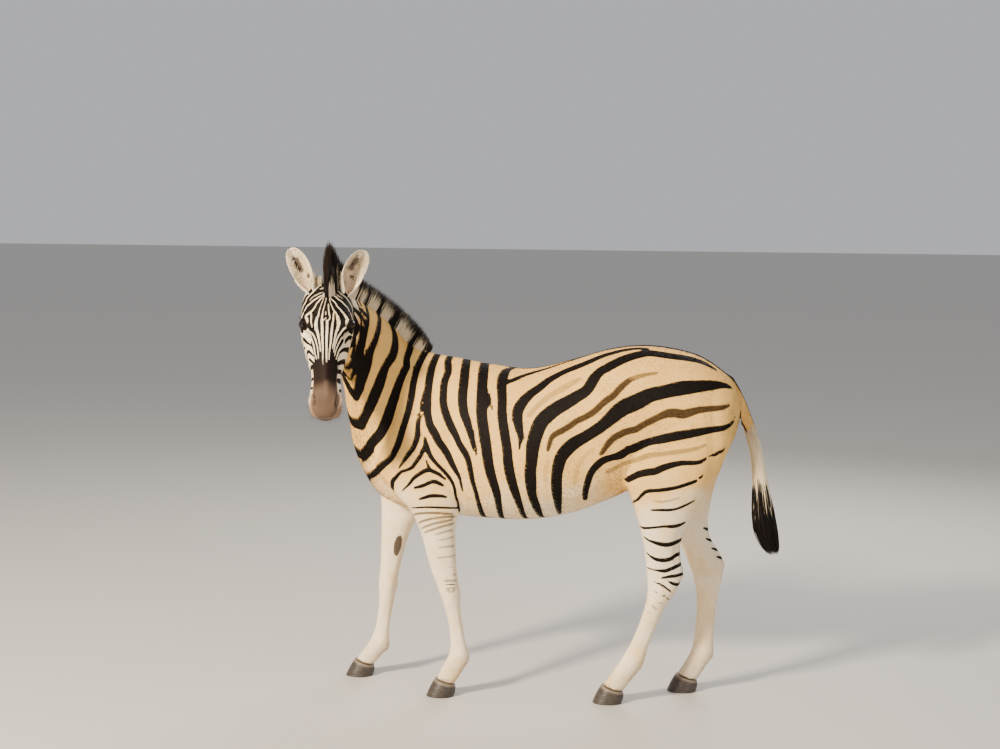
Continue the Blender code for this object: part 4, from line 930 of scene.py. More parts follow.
# brownish lines, and the tan at the inner corners of the eyes
faceShadows = {
    -1: [
        (0.55, [(1.95, 0.06, 1.5), (2.05, 0.095, 2.2), (2.15, 0.13, 2.4), (2.25, 0.17, 2.4), (2.38, 0.205, 2.2),
                (2.55, 0.23, 1.5)]),
        (0.35, [(5.3, 0.3, 4), (5.6, 0.275, 5), (5.9, 0.25, 5), (6.1, 0.235, 3)]),
    ],
    1: [
        (0.55, [(2.08, 0.09, 1.2), (2.15, 0.11, 2), (2.25, 0.135, 2.2), (2.3, 0.165, 2.1), (2.4, 0.19, 1.6)]),
        (0.4, [(5.5, 0.28, 4), (5.8, 0.26, 5), (6.1, 0.24, 4)]),
    ],
}

faceBands = {
    -1: [
        [(0.8, 0.31, 1.2), (0.95, 0.33, 2.4), (1.15, 0.355, 2.4), (1.3, 0.375, 1.4)],
        [(6.3, 1, 5), (6.15, 0.8, 6), (5.95, 0.6, 5.5), (5.87, 0.48, 5), (5.85, 0.41, 5.2), (6, 0.375, 5.5),
         (6.2, 0.345, 5), (6.38, 0.315, 4), (6.5, 0.28, 3), (6.65, 0.25, 2.6)],
        [(6.55, 0.7, 3), (6.4, 0.55, 4.5), (6.45, 0.47, 4.5), (6.58, 0.425, 3)],
        [(7.5, 0.9, 5), (7.45, 0.7, 5), (7.4, 0.53, 5), (7.2, 0.47, 5), (6.98, 0.38, 5), (6.97, 0.33, 5),
         (7.1, 0.29, 4.5), (7.3, 0.25, 3), (7.45, 0.225, 2)],
        [(7.45, 0.38, 3), (7.55, 0.34, 4.5), (7.75, 0.29, 4), (7.95, 0.24, 3)],
        [(8.1, 1, 5), (8.15, 0.8, 6), (8.2, 0.55, 6.5), (8.15, 0.4, 7), (8.15, 0.3, 7), (8.2, 0.24, 6)],
        [(9, 0.8, 3), (9.05, 0.55, 5), (9.05, 0.42, 5), (9.1, 0.32, 5)],
        [(9.75, 0.55, 4), (9.75, 0.42, 4), (9.85, 0.33, 4)],
    ],
    1: [
        [(0.85, 0.285, 1.5), (1, 0.31, 2.8), (1.3, 0.36, 2.8), (1.6, 0.41, 2)],
        [(5.75, 1, 5), (5.7, 0.8, 6), (5.7, 0.6, 6), (5.7, 0.47, 6), (5.78, 0.4, 6.5), (5.88, 0.345, 6.8),
         (6.1, 0.31, 5.5), (6.35, 0.29, 3.5)],
        [(6.75, 1, 6), (6.6, 0.8, 7), (6.5, 0.6, 8), (6.55, 0.48, 9), (6.68, 0.4, 8.5), (6.8, 0.32, 6.5),
         (6.92, 0.27, 5), (7.07, 0.235, 4), (7.25, 0.205, 2.8), (7.5, 0.19, 2)],
        [(7.6, 0.9, 5), (7.5, 0.65, 7), (7.5, 0.5, 8.5), (7.57, 0.4, 8.5), (7.75, 0.3, 7.5), (7.95, 0.22, 6)],
        [(8.4, 0.8, 4), (8.35, 0.5, 6.5), (8.42, 0.4, 7), (8.5, 0.3, 7), (8.6, 0.22, 6)],
        [(9.2, 0.7, 5), (9.15, 0.5, 8), (9.2, 0.4, 9), (9.25, 0.3, 9)],
        [(9.95, 0.6, 5), (9.95, 0.42, 6), (10.05, 0.32, 5)],
    ],
    0: [
        [(3.3, 0.47, 4), (3.6, 0.55, 6), (4, 0.65, 8), (4.3, 0.8, 8), (4.4, 1, 6)],
        [(2.4, 0.47, 4), (2.7, 0.55, 6), (3.1, 0.65, 8), (3.4, 0.8, 8), (3.5, 1, 6)],
        [(1.6, 0.42, 3), (1.9, 0.5, 6), (2.2, 0.62, 8), (2.5, 0.8, 8), (2.6, 1, 6)],
        [(5, 0.52, 4), (5.05, 0.6, 6), (5.2, 0.75, 6), (5.3, 1, 5)],
        [(4.25, 0.45, 5), (4.5, 0.42, 9), (4.8, 0.4, 12), (5.05, 0.385, 12), (5.3, 0.38, 8), (5.45, 0.38, 5)],
    ],
}

# the head's chart: station from the place along the face, turn from the angle in its ring
def headChart(points):
    aside, along, out = toHead(points).T
    rows = smoothRows(headStations, headSteps)
    stations = np.arange(len(rows)) / headSteps
    topAlong, topOut, lowAlong, lowOut, half, level, sharpUp, sharpDown = rows.T
    share = np.full(len(along), 0.3)
    for _ in range(5):  # the ring leans, so the place along it depends on the height
        lean = np.interp(np.interp(along, topAlong, stations), stations, lowAlong - topAlong)
        station = np.interp(along - share * lean, topAlong, stations)
        high, low = np.interp(station, stations, topOut), np.interp(station, stations, lowOut)
        share = np.clip((high - out) / (high - low), -0.1, 1.1)
    middle = low + (high - low) * np.interp(station, stations, level)
    up = out > middle
    cosine = (out - middle) / np.where(up, high - middle, middle - low)
    sharp = np.where(up, np.interp(station, stations, sharpUp), np.interp(station, stations, sharpDown))
    sine = (np.abs(aside) / np.interp(station, stations, half)) ** (1 / sharp)
    girth = np.interp(station, stations, (half + (topOut - lowOut) / 2) * math.pi / 2)
    return station, np.arctan2(sine, cosine) / math.pi, np.sign(aside), girth


# stations of the neck, and how many times wider its stripes are there than their rows say
neckGrowth = [8, 10.3, 12.2, 12.8, 14.5, 15, 16.5], [1, 1.08, 1.1, 1.45, 1.5, 1.15, 1.15]


# signed distance to the edge of the nearest stripe, in mm, negative inside it
class Field:
    def __init__(self, skin):
        self.points = pointsOf(skin.data).astype(np.float32)
        self.tree = surfaceTree(skin)

    def fromSide(self, places, way):
        # where a line from the side meets the skin over the loft, or else the nearest skin
        found = []
        for place in places:
            hit = self.tree.ray_cast((place - way * 0.12).tolist(), way.tolist(), 0.16)[0]
            found.append(hit if hit is not None else self.tree.find_nearest(place.tolist())[0])
        return np.array(found)

    def onSkin(self, places):
        # on the nearest skin, then evened out along the stripe
        places = np.array([self.tree.find_nearest(place)[0] for place in places.tolist()])
        for _ in range(8):
            places[1:-1] = places[1:-1] * 0.5 + (places[:-2] + places[2:]) * 0.25
        return places.astype(np.float32)

    def stroke(self, chart, rows, side, grow=1.06, more=0.9):
        # distance to the stripe = distance to a point of its middle line - half width there
        curve = smoothRows(rows, 22)
        curve[:, 1] = np.clip(curve[:, 1], 0, 1)
        places = chartPlace(chart, curve[:, 0], curve[:, 1], side)
        if chart == "body" and 9 < curve[0, 0] < (12.8 if side > 0 else 12):
            places = self.fromSide(places, np.array([-0.17, 0.97 * side, -0.16]))
        places = self.onSkin(self.onSkin(places))
        if chart == "body" and not (curve[0, 0] > 9 and curve[0, 1] > 0.44):
            wide = np.interp(curve[:, 0], *neckGrowth)
            grow = grow * (wide if side > 0 else 1 + (wide - 1) * fade(curve[:, 1], 0.75, 1.0))
        half = (np.maximum(curve[:, 2], 0.3) * grow + more * (curve[:, 0] < 12)).astype(np.float32) / 1000
        reach = 0.03 + half.max()
        inside = ((self.points > places.min(0) - reach) & (self.points < places.max(0) + reach)).all(1)
        chosen = np.flatnonzero(inside)
        result = np.full(len(chosen), 1.0, np.float32)
        for start in range(0, len(places), 40):
            part = slice(start, start + 40)
            gap = np.linalg.norm(self.points[chosen, None] - places[None, part], axis=2) - half[None, part]
            result = np.minimum(result, gap.min(1))
        return chosen, result * 1000


# the object's faces, to find the nearest of them
def surfaceTree(obj):
    faces = [tuple(face.vertices) for face in obj.data.polygons]
    return BVHTree.FromPolygons([tuple(point) for point in pointsOf(obj.data).tolist()], faces)


# the other side's stripe: station + amount sin(phase + 7 turn + station), held to 0 at the back and the keel
def varied(rows, amount, seed):
    phase, second = np.random.default_rng(seed).uniform(0, 6.28, 2)
    made = []
    for station, turn, half in rows:
        hold = math.sin(math.pi * min(max(turn, 0), 1))
        drift = amount * math.sin(phase + 7 * turn + station) * hold
        turned = turn + 0.01 * math.sin(second + 2 * station) * hold
        made.append((station + drift, turned, half * (1 + 0.1 * math.sin(second + 9 * turn))))
    return made


# at each point: distance to the dark, depth of the shadow stripes, and distance to the nearest of them
def markSkin(skin):
    field = Field(skin)
    count = len(field.points)
    far = 40.0  # mm, where no stripe is near
    dark, shade, brown = np.full(count, far), np.zeros(count), np.full(count, far / 2)

    def addDark(chart, rows, side):
        chosen, gap = field.stroke(chart, rows, side)
        dark[chosen] = np.minimum(dark[chosen], gap)

    def addShade(chart, depth, rows, side):
        chosen, gap = field.stroke(chart, rows, side, 1.0 if chart == "head" else 1.3)
        nearer = gap < brown[chosen]
        shade[chosen] = np.where(nearer, depth, shade[chosen])
        brown[chosen] = np.minimum(brown[chosen], gap)

    near = toHead(field.points)
    inHead = np.flatnonzero(headMask(near, -0.05, 0.12, -0.12, 0.07))
    station, turn, sides, girth = headChart(field.points[inHead])
    for side, edge in faceEdges.items():
        at, out = np.array(edge).T
        gap = (turn - np.interp(station, at, out)) * girth * 1000
        gap = np.maximum(gap, (station - 9.3) * 45)  # the patch ends above the nose
        gap = np.where((sides == side) & (station > 0.05), gap, far)
        dark[inHead] = np.minimum(dark[inHead], gap)
    for side in (1, -1):
        for rows in faceBands[side] + faceBands[0]:
            addDark("head", rows, side)
        for rows in facePale[side]:
            chosen, gap = field.stroke("head", rows, side, 1.0, 0.0)
            dark[chosen] = np.maximum(dark[chosen], -gap)
        for depth, rows in faceShadows[side]:
            chosen, gap = field.stroke("head", rows, side, 1.0, 0.0)
            dark[chosen] = np.maximum(dark[chosen], -gap)
            addShade("head", depth, rows, side)

    for side in (1, -1):
        ratio, depth = eyeOpening(near[inHead], side)
        gap = np.where(depth > -0.02, (ratio - 1.62) * 8, far)  # dark ring round the eye
        dark[inHead] = np.minimum(dark[inHead], gap)

    for number, rows in enumerate(bodyStripes):
        addDark("body", rows, 1)
        if not 12 < rows[0][0] < 14.5:
            addDark("body", varied(rows, 0.05 if rows[0][1] < 0.44 else 0.015, number), -1)
    for rows in rightStripes:
        addDark("body", rows, -1)
    for number, (depth, rows) in enumerate(bodyShadows):
        addShade("body", depth, rows, 1)
        addShade("body", depth, varied(rows, 0.05, 90 + number), -1)
    for side in (1, -1):
        for rows in tailStripes:
            addDark("tail", rows, side)
    for leg, stripes in legStripes.items():
        other = leg.replace("Left", "Right")
        for number, rows in enumerate(stripes):
            addDark(leg, rows, 1)
            addDark(other, varied(rows, 0.1, 200 + number), -1)
    for leg, inner in (("foreLeft", -1), ("foreRight", 1)):
        addShade(leg, *chestnut, inner)
    for leg, inner in (("hindLeft", -1), ("hindRight", 1)):
        for row in (6.3, 7.1, 7.9, 8.6):  # bars on the inner side
            addDark(leg, [(row, 1.0, 5), (row + 0.05, 0.9, 5), (row - 0.1, 0.78, 2.5)], inner)
    for leg, shadows in legShadows.items():
        other = leg.replace("Left", "Right")
        for depth, rows in shadows:
            addShade(leg, depth, rows, 1)
            addShade(other, depth, rows, -1)
    return dark, shade, brown


for key, values in zip(("dark", "shade", "brown"), markSkin(skin)):
    addAttribute(skin.data, key, values)
print("marked")

# materials

skinAttributes = ("dark", "shade", "brown", "warm", "nose", "muzzle", "dirt")


# short hands for one node tree
class Nodes:
    def __init__(self, tree):
        self.tree = tree

    def add(self, kind, **values):
        node = self.tree.nodes.new(kind)
        for key, value in values.items():
            setattr(node, key, value)
        return node

    def link(self, start, end):
        self.tree.links.new(start, end)

    def feed(self, socket, value):
        if hasattr(value, "is_output"):
            self.link(value, socket)
        else:
            socket.default_value = value

    def attribute(self, name):
        return self.add("ShaderNodeAttribute", attribute_name=name).outputs["Fac"]

    def math(self, operation, *values, clamp=False):
        node = self.add("ShaderNodeMath", operation=operation, use_clamp=clamp)
        for socket, value in zip(node.inputs, values):
            self.feed(socket, value)
        return node.outputs[0]

    def plus(self, a, b):
        return self.math("ADD", a, b)

    def times(self, a, b):
        return self.math("MULTIPLY", a, b)

    def swing(self, value, span):  # a noise about 0
        return self.times(self.math("SUBTRACT", value, 0.5), span)

    def flecked(self, colour, other, noise, low, high, share):
        return self.mix(self.times(self.ramp(noise, low, high), share), colour, other)

    def relief(self, height, strength, distance, shader):
        bump = self.add("ShaderNodeBump")
        bump.inputs["Strength"].default_value = strength
        bump.inputs["Distance"].default_value = distance
        self.link(height, bump.inputs["Height"])
        self.link(bump.outputs["Normal"], shader.inputs["Normal"])

    def mix(self, factor, a, b):
        node = self.add("ShaderNodeMix", data_type="RGBA", blend_type="MIX")
        self.feed(node.inputs[0], factor)
        self.feed(node.inputs[6], a)
        self.feed(node.inputs[7], b)
        return node.outputs[2]

    def ramp(self, value, low, high, outLow=0.0, outHigh=1.0, smooth=True):
        node = self.add("ShaderNodeMapRange", interpolation_type="SMOOTHSTEP" if smooth else "LINEAR")
        for socket, item in zip(node.inputs, (value, low, high, outLow, outHigh)):
            self.feed(socket, item)
        return node.outputs[0]

    def noise(self, vector, scale, detail=2.0, rough=0.5):
        node = self.add("ShaderNodeTexNoise")
        self.feed(node.inputs["Vector"], vector)
        node.inputs["Scale"].default_value = scale
        node.inputs["Detail"].default_value = detail
        node.inputs["Roughness"].default_value = rough
        return node.outputs["Fac"]

    def objectPlace(self, stretch=(1, 1, 1)):
        place = self.add("ShaderNodeTexCoord").outputs["Object"]
        mapping = self.add("ShaderNodeMapping")
        self.link(place, mapping.inputs["Vector"])
        mapping.inputs["Scale"].default_value = stretch
        return mapping.outputs["Vector"]


# a node group with these sockets
def newGroup(name, inputs, outputs):
    tree = bpy.data.node_groups.new(name, "ShaderNodeTree")
    for key, kind, value in inputs:
        socket = tree.interface.new_socket(key, in_out="INPUT", socket_type=kind)
        socket.default_value = value
    for key, kind in outputs:
        tree.interface.new_socket(key, in_out="OUTPUT", socket_type=kind)
    nodes = Nodes(tree)
    return tree, nodes, nodes.add("NodeGroupInput").outputs, nodes.add("NodeGroupOutput").inputs


coatColours = {
    "cream": (0.88, 0.54, 0.155, 1),
    "white": (0.95, 0.82, 0.60, 1),
    "ochre": (0.80, 0.39, 0.08, 1),
    "stripe": (0.006, 0.004, 0.003, 1),
    "stripeEdge": (0.018, 0.008, 0.005, 1),
    "shadow": (0.020, 0.009, 0.004, 1),
    "nose": (0.012, 0.006, 0.004, 1),
    "muzzle": (0.25, 0.160, 0.105, 1),
    "dirt": (0.30, 0.19, 0.10, 1),
    "fleck": (0.42, 0.28, 0.16, 1),
    "stripeFleck": (0.022, 0.011, 0.007, 1),
}


# pale coat from white to cream to ochre, stripes over it with a hairy edge, then nose, muzzle and dirt
def makeCoatPaint():
    tree, n, given, out = newGroup(
        "coatPaint",
        [(name, "NodeSocketFloat", 0.0) for name in skinAttributes],
        [("colour", "NodeSocketColor"), ("hair", "NodeSocketFloat")],
    )
    place = n.objectPlace()
    fine = n.noise(place, 420.0, 3.0, 0.6)
    broad = n.noise(place, 9.0, 3.0, 0.55)
    patch = n.noise(place, 45.0, 3.0, 0.6)
    strand = n.noise(n.objectPlace((1.0, 1.0, 0.35)), 900.0, 2.0, 0.6)
    warmth = n.plus(given["warm"], n.swing(broad, 0.7))
    pale = n.mix(n.ramp(warmth, 0.05, 0.5), coatColours["white"], coatColours["cream"])
    pale = n.mix(n.ramp(warmth, 0.62, 1.15), pale, coatColours["ochre"])
    pale = n.flecked(pale, coatColours["ochre"], patch, 0.35, 0.75, 0.16)
    pale = n.flecked(pale, coatColours["fleck"], fine, 0.35, 0.8, 0.22)
    soft = n.plus(given["brown"], n.swing(patch, 3.5))
    worn = n.times(given["shade"], n.ramp(soft, -2.5, 2.5, 1.0, 0.0))
    worn = n.math("MULTIPLY", worn, n.ramp(fine, 0.1, 0.9, 0.85, 1.1, False), clamp=True)
    pale = n.mix(worn, pale, coatColours["shadow"])
    edge = n.plus(given["dark"], n.swing(n.noise(place, 300.0, 3.0, 0.65), 3.2))
    stripe = n.mix(n.ramp(edge, -2.5, 0.0), coatColours["stripe"], coatColours["stripeEdge"])
    stripe = n.flecked(stripe, coatColours["stripeFleck"], fine, 0.45, 0.85, 0.35)
    colour = n.mix(n.ramp(edge, -0.8, 0.8, 1.0, 0.0), pale, stripe)
    colour = n.mix(given["muzzle"], colour, coatColours["muzzle"])
    noseEdge = n.plus(given["nose"], n.swing(fine, 0.25))
    colour = n.mix(n.ramp(noseEdge, 0.0, 1.0, 0.0, 1.0, False), colour, coatColours["nose"])
    colour = n.mix(n.times(given["dirt"], n.ramp(patch, 0.2, 0.8, 0.5, 1.0, False)), colour, coatColours["dirt"])
    n.link(colour, out["colour"])
    n.link(n.plus(n.times(strand, 0.7), n.times(fine, 0.3)), out["hair"])
    return tree


coatPaint = makeCoatPaint()


# a material, short hands for its nodes, and its shader
def newMaterial(name, roughness, **fixed):
    made = bpy.data.materials.new(name)
    made.use_nodes = True
    shader = made.node_tree.nodes["Principled BSDF"]
    shader.inputs["Roughness"].default_value = roughness
    for key, value in fixed.items():
        shader.inputs[key.replace("_", " ")].default_value = value
    return made, Nodes(made.node_tree), shader


# a group fed with these values
def placeGroup(n, tree, **values):
    node = n.add("ShaderNodeGroup", node_tree=tree)
    for key, value in values.items():
        n.feed(node.inputs[key], value)
    return node.outputs


# the coat's paint, fed with what skin or tufts carry
def makeCoatMaterial(name, bump):
    made, n, shader = newMaterial(name, 0.62, Specular_IOR_Level=0.09)
    paint = placeGroup(n, coatPaint, **{key: n.attribute(key) for key in skinAttributes})
    n.link(paint["colour"], shader.inputs["Base Color"])
    if bump:
        n.relief(paint["hair"], 0.5, bump, shader)
    n.link(n.ramp(paint["hair"], 0.2, 0.8, 0.52, 0.74, False), shader.inputs["Roughness"])
    return made


skinMaterial = makeCoatMaterial("coatSkin", 0.0016)
tuftMaterial = makeCoatMaterial("coatTufts", 0.0)


# tints over the skin: warm on back and flank, white below; dark nose with a painted highlight down its bridge, and
# nostrils painted dark for their dark skin and the shade inside them; grey muzzle; dust at the pasterns
def tintSkin(skin):
    points = pointsOf(skin.data)
    near = toHead(points)
    inHead = headMask(near)
    high = fade(points[:, 2], 0.60, 1.05)
    warm = 0.14 + 0.56 * high
    warm -= 0.12 * fade(-points[:, 0], 0.5, 0.75)
    beside, beneath = fade(np.abs(near[:, 0]), 0.09, 0.15), fade(-near[:, 2], 0.09, 0.20)
    face = (1 - beside) * (1 - beneath) * fade(near[:, 1], -0.06, 0.03)
    warm += (0.12 - warm) * face * (near[:, 2] < 0.12)
    station, turn, sides, _ = headChart(points)
    edge = np.where(sides > 0, 0.22, 0.28)
    front = 1 - fade(turn, edge, edge + 0.05)
    # painted highlight: the dark nose band is lighter down the middle of its bridge
    paintedHighlight = np.exp(-((turn / 0.035) ** 2)) * fade(station, 9.2, 9.7) * (1 - fade(station, 10.4, 11.2))
    nose = fade(station, 7.7, 8.4) * (1 - 0.38 * fade(station, 9.2, 10.4) - 0.10 * fade(station, 11.0, 12.4)) * front
    nose *= 1 - 0.22 * paintedHighlight
    # the nostril slits are painted dark: their dark skin, and painted shade inside the openings
    aslant = (turn - np.where(sides > 0, 0.225, 0.27)) + 0.055 * (station - 10.8)
    slit = np.exp(-((aslant / 0.024) ** 2)) * fade(station, 10.2, 10.5) * (1 - fade(station, 11.2, 11.5))
    lips = fade(station, 11.4, 12.2) * fade(turn, 0.42, 0.55)
    nose = np.maximum(nose, np.maximum(slit, 0.5 * lips)) * inHead
    muzzle = np.maximum(fade(station, 8.2, 9.0) * front, fade(station, 9.9, 10.6)) * inHead
    muzzle *= 1 - 0.55 * np.exp(-(((turn - 0.37) / 0.05) ** 2) - ((station - 10.9) / 0.5) ** 2)
    dirt = 0.35 * (1 - fade(points[:, 2], 0.06, 0.16)) * (points[:, 0] < 0.7)
    return {"warm": warm, "nose": nose, "muzzle": muzzle, "dirt": dirt}


tints = tintSkin(skin)
for key, values in tints.items():
    addAttribute(skin.data, key, values)
skin.data.materials.clear()
skin.data.materials.append(skinMaterial)


# a node's name without its underscore: ear_left gives earLeft
def pieceName(node):
    return node.replace("_l", "L").replace("_r", "R")


# from the stations' frame to the solids' frame
def placed(obj):
    setPoints(obj.data, pointsOf(obj.data) + place)
    return obj


def finishPiece(obj, slot, *nodes):
    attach(obj, "root")
    if nodes:
        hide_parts(*nodes)


# material and place of a piece, which then hangs from the root with the solids it stands for hidden
def finished(obj, material, slot, *nodes):
    obj.data.materials.append(material)
    placed(obj)
    finishPiece(obj, slot, *nodes)


# hair

# tapering three-sided hairs as one mesh: place = root + way * length * s + bend * s^2,
# half width = width * sqrt(1 - s^1.6)
def hairShapes(roots, ways, lengths, bends, widths, segments, spin):
    count = len(roots)
    s = np.linspace(0, 1, segments + 1)[:-1]
    taper = np.sqrt(1 - s**1.6)[None, :]
    side = unit(np.cross(ways, np.array([0.31, 0.52, 0.79])))
    other = np.cross(ways, side)
    line = roots[:, None] + ways[:, None] * (lengths[:, None] * s)[..., None] + bends[:, None] * (s**2)[None, :, None]
    angle = spin[:, None] + np.array([0, 2.094, 4.189])[None, :]  # thirds of a turn
    ring = side[:, None] * np.cos(angle)[..., None] + other[:, None] * np.sin(angle)[..., None]
    points = line[:, :, None] + ring[:, None] * (widths[:, None] * taper)[..., None, None]
    tips = roots + ways * lengths[:, None] + bends
    perHair = 3 * segments + 1
    points = np.concatenate([points.reshape(count, -1, 3), tips[:, None]], axis=1).reshape(-1, 3)
    top = (segments - 1) * 3
    fans = np.array([[top + i, top + (i + 1) % 3, perHair - 1] for i in range(3)] + [[2, 1, 0]])
    first = (np.arange(count) * perHair)[:, None, None]
    quads = (gridFaces(segments, 3)[None] + first).reshape(-1, 4)
    fans = (fans[None] + first).reshape(-1, 3)
    along = np.concatenate([np.repeat(s, 3), [1.0]])
    return points, quads, fans, np.tile(along, count), perHair


# OFBake: each hair is a patch 0.003 across at its root's place on the skin's own unwrap
def hairUnwrap(rootPlace, segments, quads, fans):
    across = np.array([0.0, 0.5, 1.0])
    s = np.linspace(0, 1, segments + 1)[:-1]
    local = np.array([[across[i], v] for v in s for i in range(3)] + [[0.5, 1.0]]) - 0.5
    uv = (rootPlace[:, None] + local[None] * 0.003).reshape(-1, 2)
    return uv[np.concatenate([quads.ravel(), fans.ravel()])]


# one piece of hairs: shapes, unwrap, and what each hair carries from its root
def makeHair(name, roots, ways, lengths, bends, widths, segments, rootPlace, perRoot, material, slot, *nodes):
    spin = random.uniform(0, 6.28, len(roots))
    points, quads, fans, along, perHair = hairShapes(roots, ways, lengths, bends, widths, segments, spin)
    uv = hairUnwrap(rootPlace, segments, quads, fans)
    attributes = {key: np.repeat(values, perHair) for key, values in perRoot.items()}
    attributes["along"] = along
    hair = meshObject(name, points, quads, fans, uv=("OFBake", uv), attributes=attributes)
    finished(hair, material, slot, *nodes)
    print(name, len(roots), "hairs", len(quads) * 2 + len(fans), "triangles")


hairColours = {
    "dark": (0.005, 0.004, 0.004, 1),
    "darkWorn": (0.016, 0.009, 0.007, 1),
    "pale": (0.93, 0.79, 0.55, 1),
    "paleWorn": (0.66, 0.47, 0.27, 1),
    "tip": (0.024, 0.013, 0.009, 1),
}
hairInputs = {"dark": 0.0, "along": 0.0, "tone": 0.5, "ends": 1.0}


# long hair: root colour by the stripe it grows from, darker ends, each hair a little different
def makeHairPaint():
    tree, n, given, out = newGroup(
        "hairPaint",
        [(name, "NodeSocketFloat", value) for name, value in hairInputs.items()],
        [("colour", "NodeSocketColor")],
    )
    pale = n.mix(n.times(given["tone"], 0.6), hairColours["pale"], hairColours["paleWorn"])
    dark = n.mix(n.times(given["tone"], 0.6), hairColours["dark"], hairColours["darkWorn"])
    spread = n.swing(given["tone"], 7.0)
    colour = n.mix(n.ramp(n.plus(given["dark"], spread), -1.5, 1.5), dark, pale)
    reach = n.plus(given["along"], n.swing(given["tone"], 0.24))
    colour = n.mix(n.times(n.ramp(reach, 0.60, 0.88), given["ends"]), colour, hairColours["tip"])
    n.link(colour, out["colour"])
    return tree


hairPaint = makeHairPaint()


# the hair's paint; ends is how dark the tips are
def makeHairMaterial(name, ends):
    made, n, shader = newMaterial(name, 0.55, Specular_IOR_Level=0.16)
    values = {key: n.attribute(key) for key in ("dark", "along", "tone")}
    paint = placeGroup(n, hairPaint, ends=ends, **values)
    n.link(paint["colour"], shader.inputs["Base Color"])
    return made


maneMaterial = makeHairMaterial("maneHair", 1.0)
brushMaterial = makeHairMaterial("tailHair", 0.0)


# attributes of the skin at the nearest corner
def skinNearest(points, names):
    base = pointsOf(skin.data)
    tree = KDTree(len(base))
    for i, point in enumerate(base.tolist()):
        tree.insert(point, i)
    tree.balance()
    index = np.array([tree.find(point)[1] for point in points.tolist()])
    return {name: valuesOf(skin.data, name)[index] for name in names}


mane = {
    "hairs": 7600,
    "width": (0.0009, 0.0019),
    "short": 0.68,  # the shortest hairs, against the tip line
    "coreHeight": 0.70,
    "first": 0.95,  # station where the forelock starts
    "forelock": 2.2,  # and where it ends
    "steps": 24,  # rows to a station, for the hairs
    "coreSteps": 12,
    "coreSides": 24,
    "segments": 4,
}


# foot line, tip line and half width of the mane
def maneRows(steps):
    rows = smoothRows(maneStations, steps)
    return rows[:, 0:3], rows[:, 3:6], rows[:, 6]


# hairs of one side: root = foot + aside * across * width, end = root + a share of (tip line - foot line),
# leaning to the middle
def makeMane(name, side):
    foot, tip, half = maneRows(mane["steps"])
    count, first = len(foot), mane["first"] * mane["steps"]
    m = np.where(random.uniform(0, 1, mane["hairs"]) < 0.22, 0.32, 1.0) * random.uniform(0, 1, mane["hairs"])
    m = first + m * (count - 1.001 - first)
    i = m.astype(int)
    part, station = (m - i)[:, None], m / mane["steps"]
    low, high = between(foot, i, part), between(tip, i, part)
    wide = between(half, i, part[:, 0]) * (0.10 + 0.90 * fade(station, 0.8, 2.1))
    along = np.gradient(foot, axis=0)[i]
    aside = unit(np.cross(along, high - low))
    across = side * (1 - 0.9 * random.beta(1.0, 2.6, len(m)))
    inner = 1 - 0.35 * np.abs(across) ** 2
    roots = low + aside * (across * wide * 0.95)[:, None] - (high - low) * 0.10
    spire = np.exp(-(((station - 2.0) / 0.8) ** 2))
    short = mane["short"] + (0.95 - mane["short"]) * spire * (np.abs(across) < 0.5)
    share = short + (1 - short) * random.beta(2.5, 1.2, len(m)) * inner + 0.02 + 0.10 * spire
    reach = (high - low) * share[:, None]
    pale = (station < mane["forelock"]) & (station > 1.1) & (across > 0.35)
    reach *= np.where(pale, 0.55, 1.0)[:, None]
    ends = roots + reach + aside * (-across * wide * (0.55 + 0.35 * spire))[:, None]
    ends += random.normal(0, 0.005, ends.shape)
    way = ends - roots
    lengths = np.linalg.norm(way, axis=1)
    along = unit(along)
    bends = -along * random.normal(0.006, 0.006, len(m))[:, None]
    bends += aside * random.normal(0, 0.003, len(m))[:, None]
    way = (ends - bends - roots) / lengths[:, None]
    marks = skinNearest(roots + (high - low) * 0.10, ("dark",))
    marks["dark"] = np.where(station < mane["forelock"], -6.0 + 9.0 * pale, marks["dark"])
    marks["tone"] = random.uniform(0, 1, len(m))
    rootPlace = np.column_stack([0.02 + 0.96 * m / count, 0.5 + 0.45 * across])
    widths = random.uniform(*mane["width"], len(m))
    makeHair(name, roots, way, lengths, bends, widths, mane["segments"], rootPlace, marks, maneMaterial,
             "mane", "mane")


# the mane's core: rings from under the foot line to foot + coreHeight * (tip line - foot line), narrow across
def makeManeCore():
    steps, sides = mane["coreSteps"], mane["coreSides"]
    foot, tip, half = (part[int(mane["first"] * steps) :] for part in maneRows(steps))
    top = foot + (tip - foot) * mane["coreHeight"]
    base = foot - (tip - foot) * 0.12
    flat = np.ones(len(foot))
    station = mane["first"] + np.arange(len(foot)) / steps
    narrow = (0.08 + 0.92 * fade(station, 0.8, 2.2)) * 0.74
    rings = ringsBetween(top, base, half * narrow, flat * 0.30, flat, flat * 0.7, sides)
    points, quads, fans = closedGrid(rings)
    above = points[:-2].reshape(len(foot), sides, 3) - foot[:, None]
    lift = np.clip((above * (tip - foot)[:, None]).sum(-1) / ((tip - foot) ** 2).sum(-1)[:, None], 0, 1)
    marks = skinNearest(np.repeat(foot, sides, axis=0), ("dark",))["dark"].reshape(len(foot), sides)
    marks[station < mane["forelock"]] = -6
    attributes = {
        "dark": np.append(marks.ravel(), [marks[0, 0], marks[-1, 0]]),
        "along": np.append(lift.ravel(), [0.5, 0.5]),
        "tone": np.full(len(points), 0.5),
    }
    core = meshObject("maneCore", points, quads, fans, attributes=attributes)
    finished(core, maneMaterial, "mane", "mane")


makeManeCore()
makeMane("maneLeft", 1)
makeMane("maneRight", -1)

# tail

# brush: the same as the tail's
brushStations = [
    (0.846, 0.7992, 0.79, 0.7992, 0.024),
    (0.86, 0.74, 0.788, 0.738, 0.032),
    (0.872, 0.69, 0.79, 0.686, 0.034),
    (0.884, 0.635, 0.802, 0.628, 0.03),
    (0.892, 0.585, 0.828, 0.572, 0.02),
    (0.89, 0.552, 0.858, 0.546, 0.008),
]

